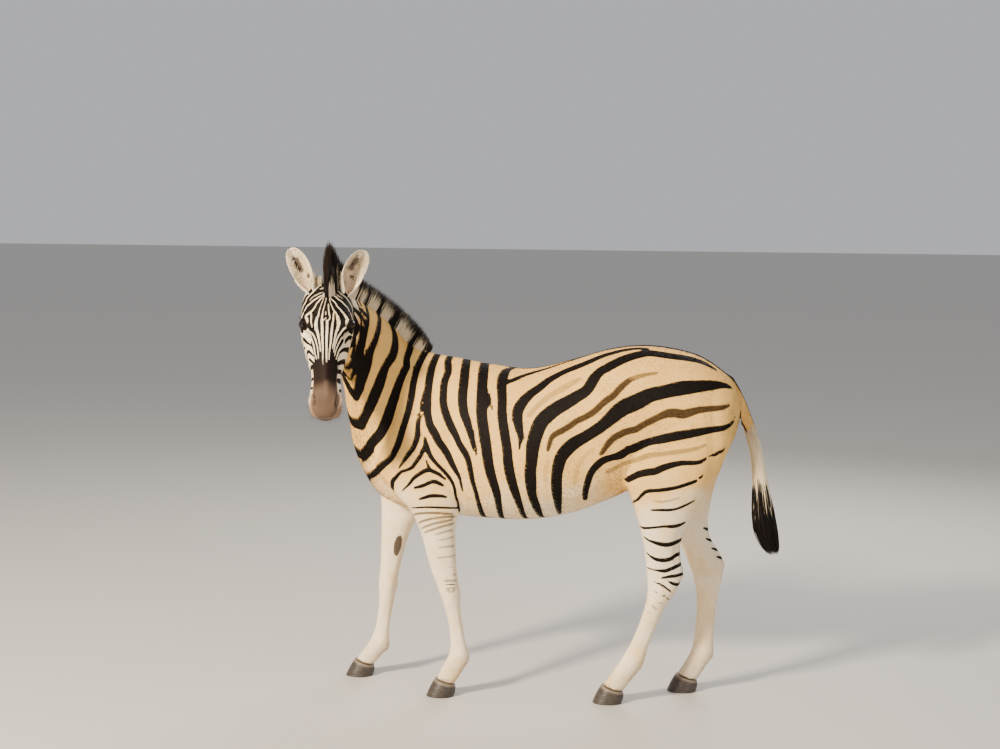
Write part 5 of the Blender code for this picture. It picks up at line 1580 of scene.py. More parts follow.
brush = {
    "hairs": 3600,
    "width": (0.001, 0.0021),
    "segments": 8,
    "sides": 48,
    "coreSides": 32,
    "coreShare": 0.80,  # of the brush's own width
    "coreLength": 0.86,  # and of its length
    "paleTo": 18,  # hairs that start above this row are pale
    "paleEnd": 38,  # and end near this one
}


# hairs that follow the brush: each keeps its own place in the rings from its root to its end
def makeBrush():
    whole = list(dockStations[3:-1]) + list(brushStations)
    rings = tailGrid(whole, brush["sides"])
    count, sides = rings.shape[:2]
    centre = rings.mean(1)
    hairs = brush["hairs"]
    start = random.beta(1.1, 1.8, hairs) * (count - 1) * 0.66
    end = start + (count - 1) * random.uniform(0.30, 0.62, hairs)
    end = np.clip(end, 0, (count - 1) * random.uniform(0.90, 1.0, hairs))
    pale = start < brush["paleTo"] + random.normal(0, 2.0, hairs)
    end = np.where(pale, np.minimum(end, brush["paleEnd"] + random.normal(0, 3.0, hairs)), end)
    turn = random.uniform(0, sides, hairs)
    depth = np.sqrt(random.uniform(0.15, 1.0, hairs))

    def spot(row, spread):
        i = np.clip(row.astype(int), 0, count - 2)
        b = (row - i)[:, None]
        j = turn.astype(int) % sides
        c = (turn - turn.astype(int))[:, None]
        rim = lambda k: rings[k, j] * (1 - c) + rings[k, (j + 1) % sides] * c
        outer = rim(i) * (1 - b) + rim(i + 1) * b
        middle = between(centre, i, b)
        return middle + (outer - middle) * (depth * spread)[:, None]

    roots, ends = spot(start, 0.9), spot(end, random.uniform(0.85, 1.05, hairs))
    middle = spot((start + end) / 2, random.uniform(0.92, 1.08, hairs))
    bends = 2 * (ends + roots - 2 * middle)
    way = ends - bends - roots
    lengths = np.linalg.norm(way, axis=1)
    way /= lengths[:, None]
    marks = {"dark": np.where(pale, 5.0, -5.0), "tone": random.uniform(0, 1, hairs)}
    rootPlace = np.column_stack([0.02 + 0.96 * start / count, 0.02 + 0.96 * turn / sides])
    widths = random.uniform(*brush["width"], hairs)
    makeHair("tailBrush", roots, way, lengths, bends, widths, brush["segments"], rootPlace, marks, brushMaterial,
             "tail_hair", "tail_brush")


# the brush's core: its own rings, narrower and shorter
def makeBrushCore():
    rings = tailGrid(brushStations, brush["coreSides"])
    centre = rings.mean(1, keepdims=True)
    rings = centre + (rings - centre) * brush["coreShare"]
    rings = rings[: int(len(rings) * brush["coreLength"])]
    points, quads, fans = closedGrid(rings)
    count = len(points)
    attributes = {"dark": np.full(count, -5.0), "along": np.zeros(count), "tone": np.full(count, 0.3)}
    core = meshObject("brushCore", points, quads, fans, attributes=attributes)
    finished(core, brushMaterial, "tail_hair", "tail_brush")


makeBrushCore()
makeBrush()
print("mane and tail made")

# ears

ears = {
    "length": 0.158,
    "width": 0.074,
    "wall": 0.0042,
    "start": -0.24,  # share of the length that runs down under the foot
    "rows": 44,
    "columns": 36,
}

# foot in the head, way of its length, way of its opening
earPoses = {
    "ear_left": ((0.066, 0.020, -0.010), (0.36, -0.70, 0.62), (0.35, 0.50, 0.79)),
    "ear_right": ((-0.061, 0.018, -0.012), (-0.45, -0.80, 0.38), (-0.22, 0.36, 0.91)),
}
earWidths = {"ear_left": 1.18, "ear_right": 1.04}
earColours = {
    "white": (0.86, 0.78, 0.64, 1),
    "inside": (0.62, 0.46, 0.31, 1),
    "dark": (0.045, 0.026, 0.020, 1),
    "fleck": (0.40, 0.28, 0.18, 1),
}


# an ear's foot, its lean, its opening at right angles to that, and the way across
def earFrame(name):
    foot, lean, openWay = (np.array(value, float) for value in earPoses[name])
    lean /= np.linalg.norm(lean)
    openWay -= lean * (openWay @ lean)
    openWay /= np.linalg.norm(openWay)
    return foot, lean, openWay, np.cross(lean, openWay)


# a leaf rolled into a funnel at its foot: half width by t, rolled by across * wrap, in the head's own places
def earSheet(name, t, across):
    half = earWidths[name] * ears["width"] / 2 * (0.50 + 1.35 * t - 0.75 * t**2)
    half = half * np.sqrt(np.clip(1 - t**3.2, 0.004, 1))
    wrap = math.radians(90) * (1 - t) ** 2.5 + math.radians(60)
    angle = across * wrap
    sideways = half * np.sin(angle) / np.maximum(np.sin(np.minimum(wrap, math.pi / 2)), 0.5)
    depth = half * (np.cos(angle) - np.cos(wrap) * t) * (1 - 0.25 * t)
    foot, lean, openWay, crossWay = earFrame(name)
    spots = foot + lean * (ears["length"] * t + 0 * across)[..., None]
    return spots + crossWay * sideways[..., None] - openWay * depth[..., None]


# painted shade in the ear's cup, along the middle of its inside and low in its funnel, over dark hair there
def earShade(t, across):
    middle = np.exp(-(((across - 0.12) / 0.34) ** 2)) * fade(t, 0.34, 0.46) * (1 - fade(t, 0.74, 0.86))
    low = np.exp(-(((across + 0.22) / 0.20) ** 2) - ((t - 0.26) / 0.06) ** 2)
    return np.maximum(middle, low)


# brown inside, darker with painted shade along its middle and low in its funnel, with a white rim; outside white with
# two dark bands
def makeEarMaterial():
    made, n, shader = newMaterial("earSkin", 0.65, Specular_IOR_Level=0.25, Sheen_Weight=0.12)
    place = n.objectPlace()
    fine = n.noise(place, 380.0, 3.0, 0.6)
    patch = n.noise(place, 60.0, 2.0, 0.5)
    inner, rim, up = (n.attribute(key) for key in ("inner", "rim", "up"))
    shadeInside = n.ramp(n.plus(n.attribute("shade"), n.swing(patch, 0.8)), 0.35, 0.75)
    inside = n.mix(n.times(shadeInside, 0.9), earColours["inside"], earColours["dark"])
    inside = n.mix(n.ramp(rim, 0.62, 0.86), inside, earColours["white"])
    wave = n.plus(up, n.swing(fine, 0.08))
    bands = n.math("MAXIMUM", n.times(n.ramp(wave, 0.50, 0.56), n.ramp(wave, 0.80, 0.85, 1.0, 0.0)),
                   n.times(n.ramp(wave, 0.14, 0.18), n.ramp(wave, 0.26, 0.31, 1.0, 0.0)))
    outside = n.mix(n.times(bands, n.ramp(rim, 0.86, 0.96, 1.0, 0.0)), earColours["white"], earColours["dark"])
    colour = n.mix(inner, outside, inside)
    colour = n.flecked(colour, earColours["fleck"], fine, 0.4, 0.8, 0.25)
    n.link(colour, shader.inputs["Base Color"])
    n.relief(fine, 0.5, 0.0015, shader)
    return made


# the sheet's two faces = middle +- normal * half wall, thinner at the rim, narrowed below the foot
def makeEar(name, material):
    rows, columns = ears["rows"], ears["columns"]
    t = np.linspace(ears["start"], 1, rows)[:, None]
    across = np.linspace(-1, 1, columns)[None, :]
    middle = earSheet(name, np.maximum(t, 0) * 0.995, across)
    _, lean, openWay, _ = earFrame(name)
    axis = middle.mean(1, keepdims=True)
    middle = axis + (middle - axis) * (1 + 2.6 * np.minimum(t, 0))[..., None]
    middle = middle + lean * (np.minimum(t, 0) * ears["length"] + 0 * across)[..., None]
    normal = unit(np.cross(np.gradient(middle, axis=0), np.gradient(middle, axis=1)))
    normal *= np.sign((normal[rows // 2, columns // 2] * openWay).sum())
    edge = np.minimum(1 - np.abs(across), (1 - t) * 1.4)
    thick = ears["wall"] / 2 * (0.35 + 0.65 * fade(edge, 0.0, 0.22))
    front, back = middle + normal * thick[..., None], middle - normal * thick[..., None]
    points = np.concatenate([front.reshape(-1, 3), back.reshape(-1, 3)])
    grid = gridFaces(rows, columns, 0, wrap=False)
    half = rows * columns
    ring = np.concatenate([
        np.arange(columns - 1),
        np.arange(rows - 1) * columns + columns - 1,
        (rows - 1) * columns + np.arange(columns - 1, 0, -1),
        np.arange(rows - 1, 0, -1) * columns,
    ])
    after = np.roll(ring, -1)
    rim = np.column_stack([ring, after, after + half, ring + half])
    faces = np.vstack([grid, grid[:, ::-1] + half, rim[:, ::-1]])
    marks = {
        "up": np.tile((np.maximum(t, 0) + 0 * across).ravel(), 2),
        "rim": np.tile((1 - np.clip(edge + 0 * t, 0, 1)).ravel(), 2),
        "inner": np.repeat([1.0, 0.0], half),
        "shade": np.tile(earShade(t, across).ravel(), 2),
    }
    piece = meshObject(pieceName(name), fromHead(points), faces, attributes=marks)
    turnedOut(piece)
    finished(piece, material, "ear", name)


earMaterial = makeEarMaterial()
for earName in earPoses:
    makeEar(earName, earMaterial)
print("ears made")

# eyes

eyeball = {
    "turns": 48,
    "rows": 32,
    "pupil": (0.003, 0.002, 0.003, 1),
    "iris": (0.009, 0.004, 0.003, 1),
    "rim": (0.010, 0.006, 0.005, 1),
    "pupilSize": (0.0095, 0.006),
}


# a ball with its pole along the gaze, swelling a little at the cornea
def makeEyes():
    made, n, shader = newMaterial("eyeball", 0.09, Specular_IOR_Level=0.4)
    ring = n.attribute("ring")
    fine = n.noise(n.objectPlace(), 700.0, 2.0, 0.5)
    colour = n.mix(n.ramp(n.plus(ring, n.times(fine, 0.12)), 0.50, 0.66), eyeball["pupil"], eyeball["iris"])
    colour = n.mix(n.ramp(ring, 1.30, 1.55), colour, eyeball["rim"])
    n.link(colour, shader.inputs["Base Color"])
    turns, rows = eyeball["turns"], eyeball["rows"]
    a = np.pi * np.arange(rows + 1)[:, None] / rows
    b = 2 * np.pi * np.arange(turns)[None, :] / turns
    for side, name in ((1, "eye_left"), (-1, "eye_right")):
        centre, gaze, length, rise = eyeAxes(side)
        swell = eye["radius"] * (1 + 0.05 * np.exp(-((a / 0.55) ** 2)))
        ball = centre + gaze * (swell * np.cos(a) + 0 * b)[..., None]
        ball = ball + length * (swell * np.sin(a) * np.cos(b))[..., None]
        ball = ball + rise * (swell * np.sin(a) * np.sin(b))[..., None]
        grid = ball[1:-1]
        points = np.concatenate([grid.reshape(-1, 3), ball[0, :1], ball[-1, :1]])
        u, v = (points - centre) @ length, (points - centre) @ rise
        ringValue = np.sqrt((u / eyeball["pupilSize"][0]) ** 2 + (v / eyeball["pupilSize"][1]) ** 2)
        quads, fans = gridFaces(rows - 1, turns), capFaces(rows - 1, turns)
        piece = meshObject(pieceName(name), fromHead(points), quads, fans, attributes={"ring": ringValue})
        turnedOut(piece)
        finished(piece, made, "eye", name)


makeEyes()
print("eyes made")

# hooves

# toe x, heel x, half width of each sole
hoofSoles = {
    "foreLeft": (-0.397, -0.294, 0.046),
    "foreRight": (-0.752, -0.647, 0.046),
    "hindLeft": (0.221, 0.328, 0.045),
    "hindRight": (0.491, 0.598, 0.045),
}


hoofForm = {"rows": 22, "sides": 56, "gap": 0.0004, "inner": 0.86}  # gap under the leg's last ring
hoofColours = {
    "horn": (0.030, 0.024, 0.021, 1),
    "hornPale": (0.062, 0.048, 0.039, 1),
    "fibre": (0.105, 0.083, 0.064, 1),
    "dust": (0.30, 0.23, 0.16, 1),
}


# rings from the leg's last ring to the sole: middle + reach * cos(turn) ^ 0.92 + half * sin(turn) ^ 0.92
def makeHooves():
    made, n, shader = newMaterial("hoofHorn", 0.42, Specular_IOR_Level=0.4)
    level, place = n.attribute("level"), n.objectPlace()
    grow = n.noise(n.objectPlace((1, 1, 3)), 60.0, 2.0, 0.5)
    lines = n.add("ShaderNodeTexWave", wave_type="BANDS", bands_direction="Z")
    n.link(place, lines.inputs["Vector"])
    lines.inputs["Scale"].default_value = 70.0
    lines.inputs["Distortion"].default_value = 2.5
    fibres = n.noise(n.objectPlace((1, 1, 0.06)), 700.0, 2.0, 0.5)
    colour = n.mix(n.ramp(grow, 0.3, 0.75), hoofColours["horn"], hoofColours["hornPale"])
    colour = n.flecked(colour, hoofColours["fibre"], fibres, 0.4, 0.8, 0.35)
    colour = n.mix(n.ramp(level, 0.0, 0.22, 0.65, 0.0), colour, hoofColours["dust"])
    n.link(colour, shader.inputs["Base Color"])
    n.relief(n.plus(lines.outputs["Fac"], fibres), 0.35, 0.001, shader)
    rows, sides = hoofForm["rows"], hoofForm["sides"]
    s = np.linspace(0, 1, rows)[:, None]
    turn = 2 * np.pi * np.arange(sides) / sides
    cosine, sine = np.cos(turn), np.sin(turn)
    for leg, (toe, heel, soleHalf) in hoofSoles.items():
        last = smoothRows(legStations[leg], 2)[-1]
        aside = last[4] * (-1 if leg.endswith("Left") else 1)
        front = np.array([last[0], aside, last[1] - hoofForm["gap"]])
        back = np.array([last[2], aside, last[3] - hoofForm["gap"]])
        toePoint, heelPoint = np.array([toe, aside, 0]), np.array([heel, aside, 0])
        bulge = np.sin(np.pi * s)
        upper = front * (1 - s) + toePoint * s + np.array([-0.0015, 0, 0.0015]) * bulge
        lower = back * (1 - s) + heelPoint * s + np.array([0.0035, 0, 0]) * bulge
        halves = last[5] * (1 - s[:, 0]) + soleHalf * s[:, 0] + 0.0012 * bulge[:, 0]
        ripple = 0.0005 * np.sin(s[:, 0] * 44) * np.sin(np.pi * s[:, 0])
        middle, reach = (upper + lower) / 2, (upper - lower) / 2
        size = np.linalg.norm(reach, axis=1)[:, None]
        reach = reach * (1 + ripple[:, None] / size)
        rings = (
            middle[:, None]
            + reach[:, None] * (np.sign(cosine) * np.abs(cosine) ** 0.92)[None, :, None]
            + np.array([0, 1, 0]) * ((halves + ripple)[:, None] * np.sign(sine) * np.abs(sine) ** 0.92)[..., None]
        )
        rings[..., 2] = np.maximum(rings[..., 2], 0)
        rings[-1, :, 2] = 0
        inner = rings[-1].mean(0) + (rings[-1] - rings[-1].mean(0)) * hoofForm["inner"]
        rings = np.concatenate([rings, inner[None]])
        points, quads, fans = closedGrid(rings)
        level = np.append(np.repeat(np.append(s[:, 0], 1.0), sides), [0.0, 1.0])
        piece = meshObject("hoof" + leg[0].upper() + leg[1:], points, quads, fans, attributes={"level": level})
        turnedOut(piece)
        piece.data.set_sharp_from_angle(angle=math.radians(50))
        finished(piece, made, "hoof", "hoof_" + leg.replace("Left", "_left").replace("Right", "_right"))


makeHooves()
print("hooves made")

# coat

# by region: charts with their first and last station, hair length and half width in m, lift off the skin in
# degrees, and the number of tufts
coatRegions = {
    "coatNeck": {
        "charts": [("body", 12, 19.3)], "length": 0.011, "width": 0.00072, "lift": 5, "tufts": 46000,
    },
    "coatBarrel": {
        "charts": [("body", 6.3, 12)], "length": 0.012, "width": 0.0008, "lift": 5, "tufts": 47000,
    },
    "coatRump": {
        "charts": [("body", 0.1, 6.3), ("tail", 0.3, 6)], "length": 0.012, "width": 0.0008, "lift": 5, "tufts": 49500,
    },
    "coatHead": {
        "charts": [("head", 0, 12.6)], "length": 0.0062, "width": 0.00045, "lift": 7, "tufts": 47000,
    },
    "coatForelegs": {
        "charts": [("foreLeft", 1.6, 14.9), ("foreRight", 1.6, 14.9)],
        "length": 0.007, "width": 0.00055, "lift": 7, "tufts": 44000,
    },
    "coatHindlegs": {
        "charts": [("hindLeft", 1.2, 15.9), ("hindRight", 1.2, 15.9)],
        "length": 0.0078, "width": 0.0006, "lift": 7, "tufts": 46000,
    },
}

# longer hair: chart start, station, turn, reach in stations, reach in turns, times longer
longHair = [
    ("body", 12.5, 1, 1.6, 0.16, 0.8),
    ("body", 8.5, 1, 3, 0.07, 0.5),
    ("body", 16.5, 1, 2, 0.2, 0.6),
    ("body", 4, 0.9, 2, 0.12, 0.4),
    ("head", 1.8, 1, 1.6, 0.25, 1.3),
    ("head", 4.5, 1, 3, 0.16, 0.8),
    ("head", 0.5, 0.3, 0.6, 0.16, 1.2),
    ("head", 11.8, 1, 0.9, 0.3, 0.8),
    ("fore", 2.6, 1, 1, 0.16, 0.9),
    ("fore", 13.3, 1, 0.9, 0.22, 1.6),
    ("hind", 9, 1, 1.4, 0.12, 0.6),
    ("hind", 14.3, 1, 0.9, 0.22, 1.6),
    ("hind", 3.4, 0.05, 1.6, 0.14, 0.7),
    ("tail", 5.5, 0.5, 2, 1, 1.6),
]


# the skin's triangles, to set roots on and to read its attributes there
class Surface:
    def __init__(self, obj):
        mesh = obj.data
        mesh.calc_loop_triangles()
        corners = np.empty(len(mesh.loop_triangles) * 3, np.int32)
        mesh.loop_triangles.foreach_get("vertices", corners)
        self.corners = corners.reshape(-1, 3)
        self.points, self.normals = pointsOf(mesh), vectorsOf(mesh.vertex_normals, "vector")
        self.tree = BVHTree.FromPolygons([tuple(p) for p in self.points.tolist()], self.corners.tolist())
        self.values = {name: valuesOf(mesh, name) for name in skinAttributes}

    def rootsAt(self, places, reach):
        # nearest places on the skin, with the weights of their triangle's corners
        hits = [self.tree.find_nearest(place, reach) for place in places.tolist()]
        kept = np.array([hit[0] is not None for hit in hits])
        spots = np.array([hit[0] for hit in hits if hit[0] is not None])
        chosen = self.corners[np.array([hit[2] for hit in hits if hit[0] is not None])]
        a, b, c = (self.points[chosen[:, i]] for i in range(3))
        whole = np.cross(b - a, c - a)
        size = np.maximum((whole**2).sum(1), 1e-18)
        wb = (np.cross(spots - a, c - a) * whole).sum(1) / size
        wc = (np.cross(b - a, spots - a) * whole).sum(1) / size
        weights = np.clip(np.column_stack([1 - wb - wc, wb, wc]), 0, 1)
        weights /= weights.sum(1, keepdims=True)
        normals = unit((self.normals[chosen] * weights[..., None]).sum(1))
        values = {name: (layer[chosen] * weights).sum(1) for name, layer in self.values.items()}
        return kept, spots, normals, values


# random places of a loft, even in area, between two stations
def scattered(chart, first, last, count):
    grid, steps = grids[chart], chartSteps[chart]
    rows, sides = grid.shape[:2]
    after = np.roll(grid, -1, axis=1)
    area = np.linalg.norm(np.cross(grid[1:] - grid[:-1], after[:-1] - grid[:-1]), axis=2)
    stations = (np.arange(rows - 1) + 0.5) / steps
    area = area * ((stations >= first) & (stations < last))[:, None]
    cell = random.choice(area.size, count, p=(area / area.sum()).ravel())
    i, j = np.divmod(cell, sides)
    a, b = random.uniform(0, 1, (2, count, 1))
    low = grid[i, j] * (1 - b) + after[i, j] * b
    high = grid[i + 1, j] * (1 - b) + after[i + 1, j] * b
    flow = unit(high - low)
    around = unit(after[i, j] - grid[i, j])
    return low * (1 - a) + high * a, flow, around, (i + a[:, 0]) / steps, (j + b[:, 0]) / sides, area.sum()


# lie of the coat: to the rear and down on the body, down the legs and the tail, from the whorl down the face
def lieOfCoat(chart, flow, around, station, wheel):
    turn = 1 - np.abs(2 * wheel - 1)
    downward = around * np.where(wheel < 0.5, 1, -1)[:, None]
    if chart == "body":
        slope = 0.35 * np.sin(np.pi * turn) + 0.5 * fade(station, 12.5, 14.0) * np.sin(np.pi * turn)
        lie = -flow + downward * slope[:, None]
    elif chart == "head":
        forward = fade(station, 1.7, 2.9) * 2 - 1
        cheek = fade(turn, 0.40, 0.62) * (1 - fade(station, 7.5, 9.5))
        whorl = np.exp(-(((station - 2.3) / 1.6) ** 2)) * 1.2 * fade(turn, 0.0, 0.10)
        lie = flow * (forward * (1 - 1.3 * cheek))[:, None] + downward * (whorl + cheek * 0.9)[:, None]
    else:
        lie = flow + downward * (0.2 * np.sin(np.pi * turn))[:, None]
    return unit(lie), turn


# tufts of one region: roots on the skin, way = lie * cos(lift) + normal * sin(lift) + a little sway
def makeCoat(name, region, surface):
    whole = {"roots": [], "ways": [], "lengths": [], "uv": [], "values": []}
    areas = [scattered(chart, first, last, 8)[5] for chart, first, last in region["charts"]]
    for number, (chart, first, last) in enumerate(region["charts"]):
        count = int(region["tufts"] * areas[number] / sum(areas))
        places, flow, around, station, wheel, _ = scattered(chart, first, last, count)
        lie, turn = lieOfCoat(chart, flow, around, station, wheel)
        kept, spots, normals, values = surface.rootsAt(places, 0.016 if chart != "head" else 0.012)
        lie, station, turn, wheel = lie[kept], station[kept], turn[kept], wheel[kept]
        lie -= normals * (lie * normals).sum(1)[:, None]
        lie = unit(lie)
        aside = np.cross(normals, lie)
        longer = np.ones(len(lie))
        for start, middle, at, alongReach, turnReach, times in longHair:
            if chart.startswith(start):
                longer += times * np.exp(-(((station - middle) / alongReach) ** 2) - ((turn - at) / turnReach) ** 2)
        if chart == "head":
            near = toHead(spots)
            openEye = np.zeros(len(spots), bool)
            for side in (1, -1):
                ratio, depth = eyeOpening(near, side)
                openEye |= (ratio < 1.12) & (depth > -0.02)
            longer *= 1 - 0.45 * fade(station, 8.5, 11.5) * (turn < 0.8)
            longer = np.where(openEye | (values["nose"] > 0.93) & (station > 10.2), 0.0, longer)
        lift = np.radians(region["lift"] * (1 + 0.35 * (longer - 1)) + random.normal(0, 1.2, len(lie)))
        sway = random.normal(0, 0.10, len(lie))
        ways = unit(lie * np.cos(lift)[:, None] + normals * np.sin(lift)[:, None] + aside * sway[:, None])
        grown = longer > 0
        whole["roots"].append((spots - normals * 0.0006)[grown])
        whole["ways"].append(ways[grown])
        whole["lengths"].append((region["length"] * longer * random.uniform(0.7, 1.15, len(lie)))[grown])
        strip = (number + 0.04 + 0.92 * wheel) / len(region["charts"])
        whole["uv"].append(np.column_stack([strip, 0.02 + 0.96 * (station - first) / (last - first)])[grown])
        whole["values"].append({key: value[grown] for key, value in values.items()})
    roots, ways, lengths, uv = (np.concatenate(whole[key]) for key in ("roots", "ways", "lengths", "uv"))
    values = {key: np.concatenate([part[key] for part in whole["values"]]) for key in whole["values"][0]}
    widths = region["width"] * random.uniform(0.8, 1.2, len(roots))
    makeHair(name, roots, ways, lengths, roots * 0, widths, 1, uv, values, tuftMaterial, "coat")


surface = Surface(skin)
for coatName, coatRegion in coatRegions.items():
    makeCoat(coatName, coatRegion, surface)


lashes = {"places": 34, "length": (0.010, 0.016), "width": 0.00032, "segments": 4}
whiskers = {"count": 110, "length": (0.008, 0.020), "width": 0.00022, "segments": 4, "stations": (10.9, 12.7)}
earHair = {"count": 1500, "width": (0.0004, 0.0008), "segments": 3, "step": 0.004}
earFringe = {"count": 1500, "length": (0.004, 0.009), "width": (0.0003, 0.0006), "segments": 2}
pollLocks = {"count": 2400, "length": (0.016, 0.034), "width": (0.0004, 0.0008), "segments": 4}


# lashes along the upper lids, on the lid's sphere: out with the gaze and up
def makeLashes():
    spread = np.repeat(np.linspace(-1.0, 1.0, lashes["places"]), 2)
    for side, name in ((1, "lashesLeft"), (-1, "lashesRight")):
        centre, gaze, length, rise = eyeAxes(side)
        turn = spread * 1.25 + random.normal(0, 0.03, len(spread))
        u = np.sin(turn) * eye["opening"][0] * 1.06
        v = np.cos(turn) * eye["opening"][1] * 1.22
        depth = np.sqrt(np.maximum((eye["radius"] + eye["lid"]) ** 2 - u**2 - v**2, 1e-6))
        near = centre + length * u[:, None] + rise * v[:, None] + gaze * depth[:, None]
        ways = gaze * 0.8 + rise * 0.45 + length * (0.5 * np.sin(turn))[:, None]
        ways = unit(ways + random.normal(0, 0.08, near.shape))
        count = len(near)
        lengths = random.uniform(*lashes["length"], count)
        marks = {"dark": np.full(count, -6.0), "tone": random.uniform(0, 0.5, count)}
        bends = np.array([0, 0, -0.003]) * np.ones((count, 1))
        rootPlace = np.column_stack([0.5 + 0.4 * spread, 0.5 + 0 * spread])
        makeHair(name, fromHead(near), ways @ headFrame, lengths, bends, np.full(count, lashes["width"]),
                 lashes["segments"], rootPlace, marks, brushMaterial, "coat")


# whiskers on lips and chin, straight out and a little along the face
def makeWhiskers():
    count = whiskers["count"]
    first, last = whiskers["stations"]
    station = random.uniform(first, last, count)
    turn = random.uniform(0.45, 1.0, count)
    side = random.choice([-1, 1], count)
    places = chartPlace("head", station, turn, side)
    kept, spots, normals, _ = surface.rootsAt(places, 0.02)
    count = len(spots)
    ways = unit(normals + headFrame[1] * 0.25 + random.normal(0, 0.12, normals.shape))
    marks = {"dark": np.full(count, -6.0), "tone": random.uniform(0, 1, count)}
    lengths = random.uniform(*whiskers["length"], count)
    bends = np.array([0, 0, -0.004]) * np.ones((count, 1))
    along = (station[kept] - first) / (last - first)
    rootPlace = np.column_stack([0.1 + 0.8 * turn[kept], 0.1 + 0.8 * along])
    makeHair("whiskers", spots - normals * 0.0006, ways, lengths, bends, np.full(count, whiskers["width"]),
             whiskers["segments"], rootPlace, marks, brushMaterial, "coat")


# long hair inside the ears, inwards from both edges, and a short fringe along the edges
def makeEarHair():
    step = earHair["step"]
    for name in earPoses:
        openWay = earFrame(name)[2]
        count = earHair["count"]
        t = random.beta(1.1, 1.2, count) * 0.93 + 0.03
        across = np.sign(random.uniform(-1, 1, count)) * (1 - random.beta(1.0, 2.2, count) * 0.98)
        spots = earSheet(name, t, across)
        up = unit(earSheet(name, t + step, across) - spots)
        inward = unit(earSheet(name, t, across - np.sign(across) * step) - spots)
        normal = unit(np.cross(up, inward) * np.sign(across)[:, None])
        normal *= np.sign((normal * openWay).sum(1))[:, None]
        edge = np.abs(across)
        ways = unit(inward * (0.75 * edge)[:, None] + up * 0.5 + normal * 0.32 + random.normal(0, 0.10, spots.shape))
        lengths = (0.011 + 0.012 * edge * np.sin(np.pi * t) ** 0.6) * random.uniform(0.6, 1.1, count)
        # the hairs are dark where the ear's cup has its painted shade and dark hair
        darkHere = earShade(t, across) + random.normal(0, 0.16, count) > 0.42
        marks = {"dark": np.where(darkHere, -5.0, 6.0), "tone": random.uniform(0, 0.45, count)}
        roots = fromHead(spots + normal * ears["wall"] * 0.4)
        rootPlace = np.column_stack([0.5 + 0.45 * across, 0.03 + 0.94 * t])
        widths = random.uniform(*earHair["width"], count)
        makeHair(pieceName(name) + "Hair", roots, ways @ headFrame, lengths, -(normal @ headFrame) * 0.003, widths,
                 earHair["segments"], rootPlace, marks, brushMaterial, "ear")
        count = earFringe["count"]
        t = random.uniform(0.02, 0.98, count)
        across = np.sign(random.uniform(-1, 1, count)) * random.uniform(0.90, 1.0, count)
        spots = earSheet(name, t, across)
        above = np.minimum(t + step, 1)
        up = unit(earSheet(name, above, across) - earSheet(name, above - step, across))
        outward = unit(spots - earSheet(name, t, across * 0.97))
        ways = unit(up * 0.85 + outward * 0.35 + random.normal(0, 0.10, spots.shape))
        marks = {"dark": np.full(count, 6.0), "tone": random.uniform(0, 0.35, count)}
        lengths, widths = (random.uniform(*earFringe[key], count) for key in ("length", "width"))
        rootPlace = np.column_stack([0.5 + 0.45 * across, 0.03 + 0.94 * t])
        makeHair(pieceName(name) + "Fringe", fromHead(spots), ways @ headFrame, lengths, spots * 0, widths,
                 earFringe["segments"], rootPlace, marks, brushMaterial, "ear")


# pale locks at the foot of each ear, standing up from the nearest skin
def makePollHair():
    count = pollLocks["count"]
    side = random.choice([-1, 1], count)
    aside = side * random.uniform(0.020, 0.066, count)
    along = random.uniform(-0.030, 0.012, count)
    places = fromHead(np.column_stack([aside, along, random.uniform(-0.040, 0.004, count)]))
    kept, spots, normals, _ = surface.rootsAt(places, 0.03)
    count = len(spots)
    ways = normals * 0.30 - headFrame[1] * 0.85 + headFrame[2] * 0.22 + headFrame[0] * (side[kept] * 0.16)[:, None]
    ways = unit(ways + random.normal(0, 0.10, ways.shape))
    marks = {"dark": np.where(random.uniform(0, 1, count) < 0.16, -6.0, 6.0), "tone": random.uniform(0, 0.5, count)}
    lengths, widths = (random.uniform(*pollLocks[key], count) for key in ("length", "width"))
    rootPlace = np.column_stack([0.5 + aside[kept] * 6, 0.1 + 0.8 * random.uniform(0, 1, count)])
    makeHair("pollHair", spots - normals * 0.001, ways, lengths, normals * 0.003, widths, pollLocks["segments"],
             rootPlace, marks, brushMaterial, "coat")


makeLashes()
makeWhiskers()
makePollHair()
makeEarHair()
print("coat made")

placed(skin)
legNodes = ("foreleg_left", "foreleg_right", "hindleg_left", "hindleg_right")
finishPiece(skin, "coat", "trunk", "neck", "head", *legNodes, "tail")

# stage

studio = {
    "floor": (0.52, 0.50, 0.47, 1),
    "floorHalf": 250.0,
    "sky": (0.95, 0.96, 1.0, 1),
    "skyStrength": 0.55,
    "eye": (0.545, -5.462, 1.694),
    "focus": 1527.0,  # focal length in thousandths of the picture's width
    "down": 5.07,
    "heading": 7.2,
    "tilt": 0.63,
}

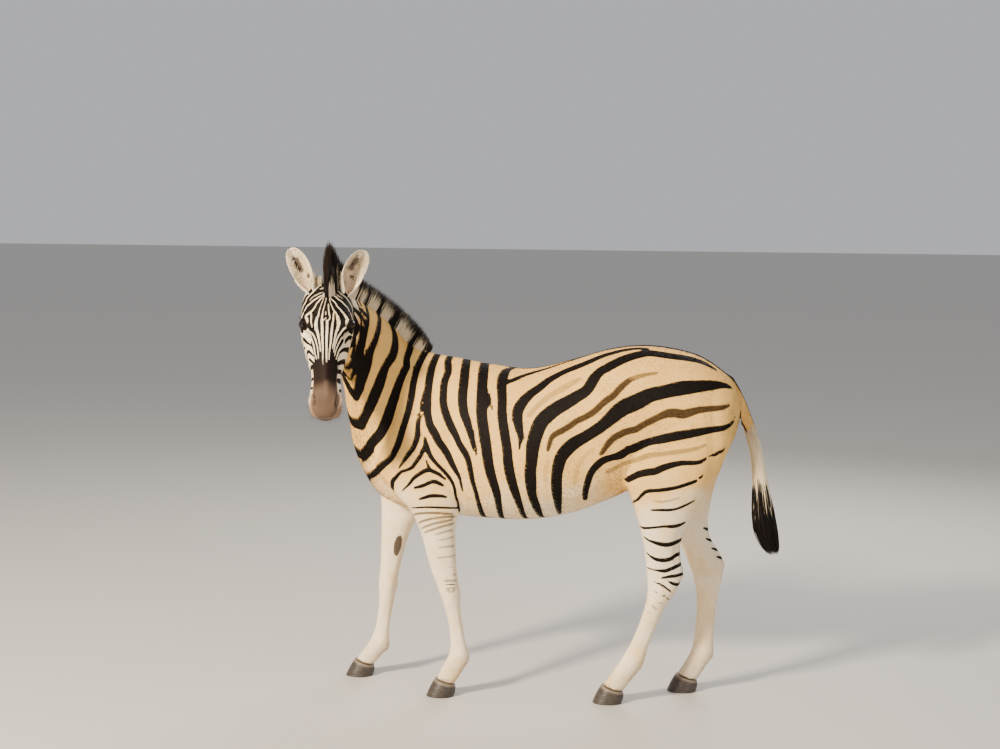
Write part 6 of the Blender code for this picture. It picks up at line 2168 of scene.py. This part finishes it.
# place, size, power, tint
studioLights = {
    "keyLight": ((-4.2, -5.2, 4.4), 1.0, 1500, (1.0, 0.86, 0.66)),
    "fillLight": ((4.2, -4.6, 2.6), 2.6, 90, (0.86, 0.92, 1.0)),
    "backLight": ((1.5, 4.2, 4.0), 2.6, 220, (1.0, 0.95, 0.88)),
}


# a pale floor, an even sky and three lights that face the middle of the animal
def makeStage():
    size = studio["floorHalf"]
    grid = np.array([[-size, -size, 0], [size, -size, 0], [size, size, 0], [-size, size, 0]])
    floor = meshObject("floor", grid, np.array([[0, 1, 2, 3]]), smooth=False)
    made, _, shader = newMaterial("paleFloor", 0.75)
    shader.inputs["Base Color"].default_value = studio["floor"]
    floor.data.materials.append(made)
    world = bpy.data.worlds.new("studio")
    bpy.context.scene.world = world
    world.use_nodes = True
    world.node_tree.nodes["Background"].inputs[0].default_value = studio["sky"]
    world.node_tree.nodes["Background"].inputs[1].default_value = studio["skyStrength"]
    for name, (spot, size, power, tint) in studioLights.items():
        data = bpy.data.lights.new(name, "AREA")
        data.size = size
        data.energy = power
        data.color = tint
        light = bpy.data.objects.new(name, data)
        bpy.context.scene.collection.objects.link(light)
        light.location = spot
        light.rotation_euler = (Vector((0, 0, 0.8)) - Vector(spot)).to_track_quat("-Z", "Y").to_euler()


# the camera's right, up and back as the columns of its turn
def makeCamera():
    heading, down, tilt = (math.radians(studio[key]) for key in ("heading", "down", "tilt"))
    ahead = Vector((-math.sin(heading) * math.cos(down), math.cos(heading) * math.cos(down), -math.sin(down)))
    right = Vector((math.cos(heading), math.sin(heading), 0))
    up = right.cross(ahead)
    turned = right * math.cos(tilt) + up * math.sin(tilt)
    upright = up * math.cos(tilt) - right * math.sin(tilt)
    data = bpy.data.cameras.new("camera")
    data.sensor_width = 36.0
    data.lens = data.sensor_width * studio["focus"] / 1000
    camera = bpy.data.objects.new("camera", data)
    bpy.context.scene.collection.objects.link(camera)
    turn = Matrix((turned, upright, -ahead)).transposed().to_4x4()
    camera.matrix_world = Matrix.Translation(studio["eye"]) @ turn
    bpy.context.scene.camera = camera


makeStage()
makeCamera()
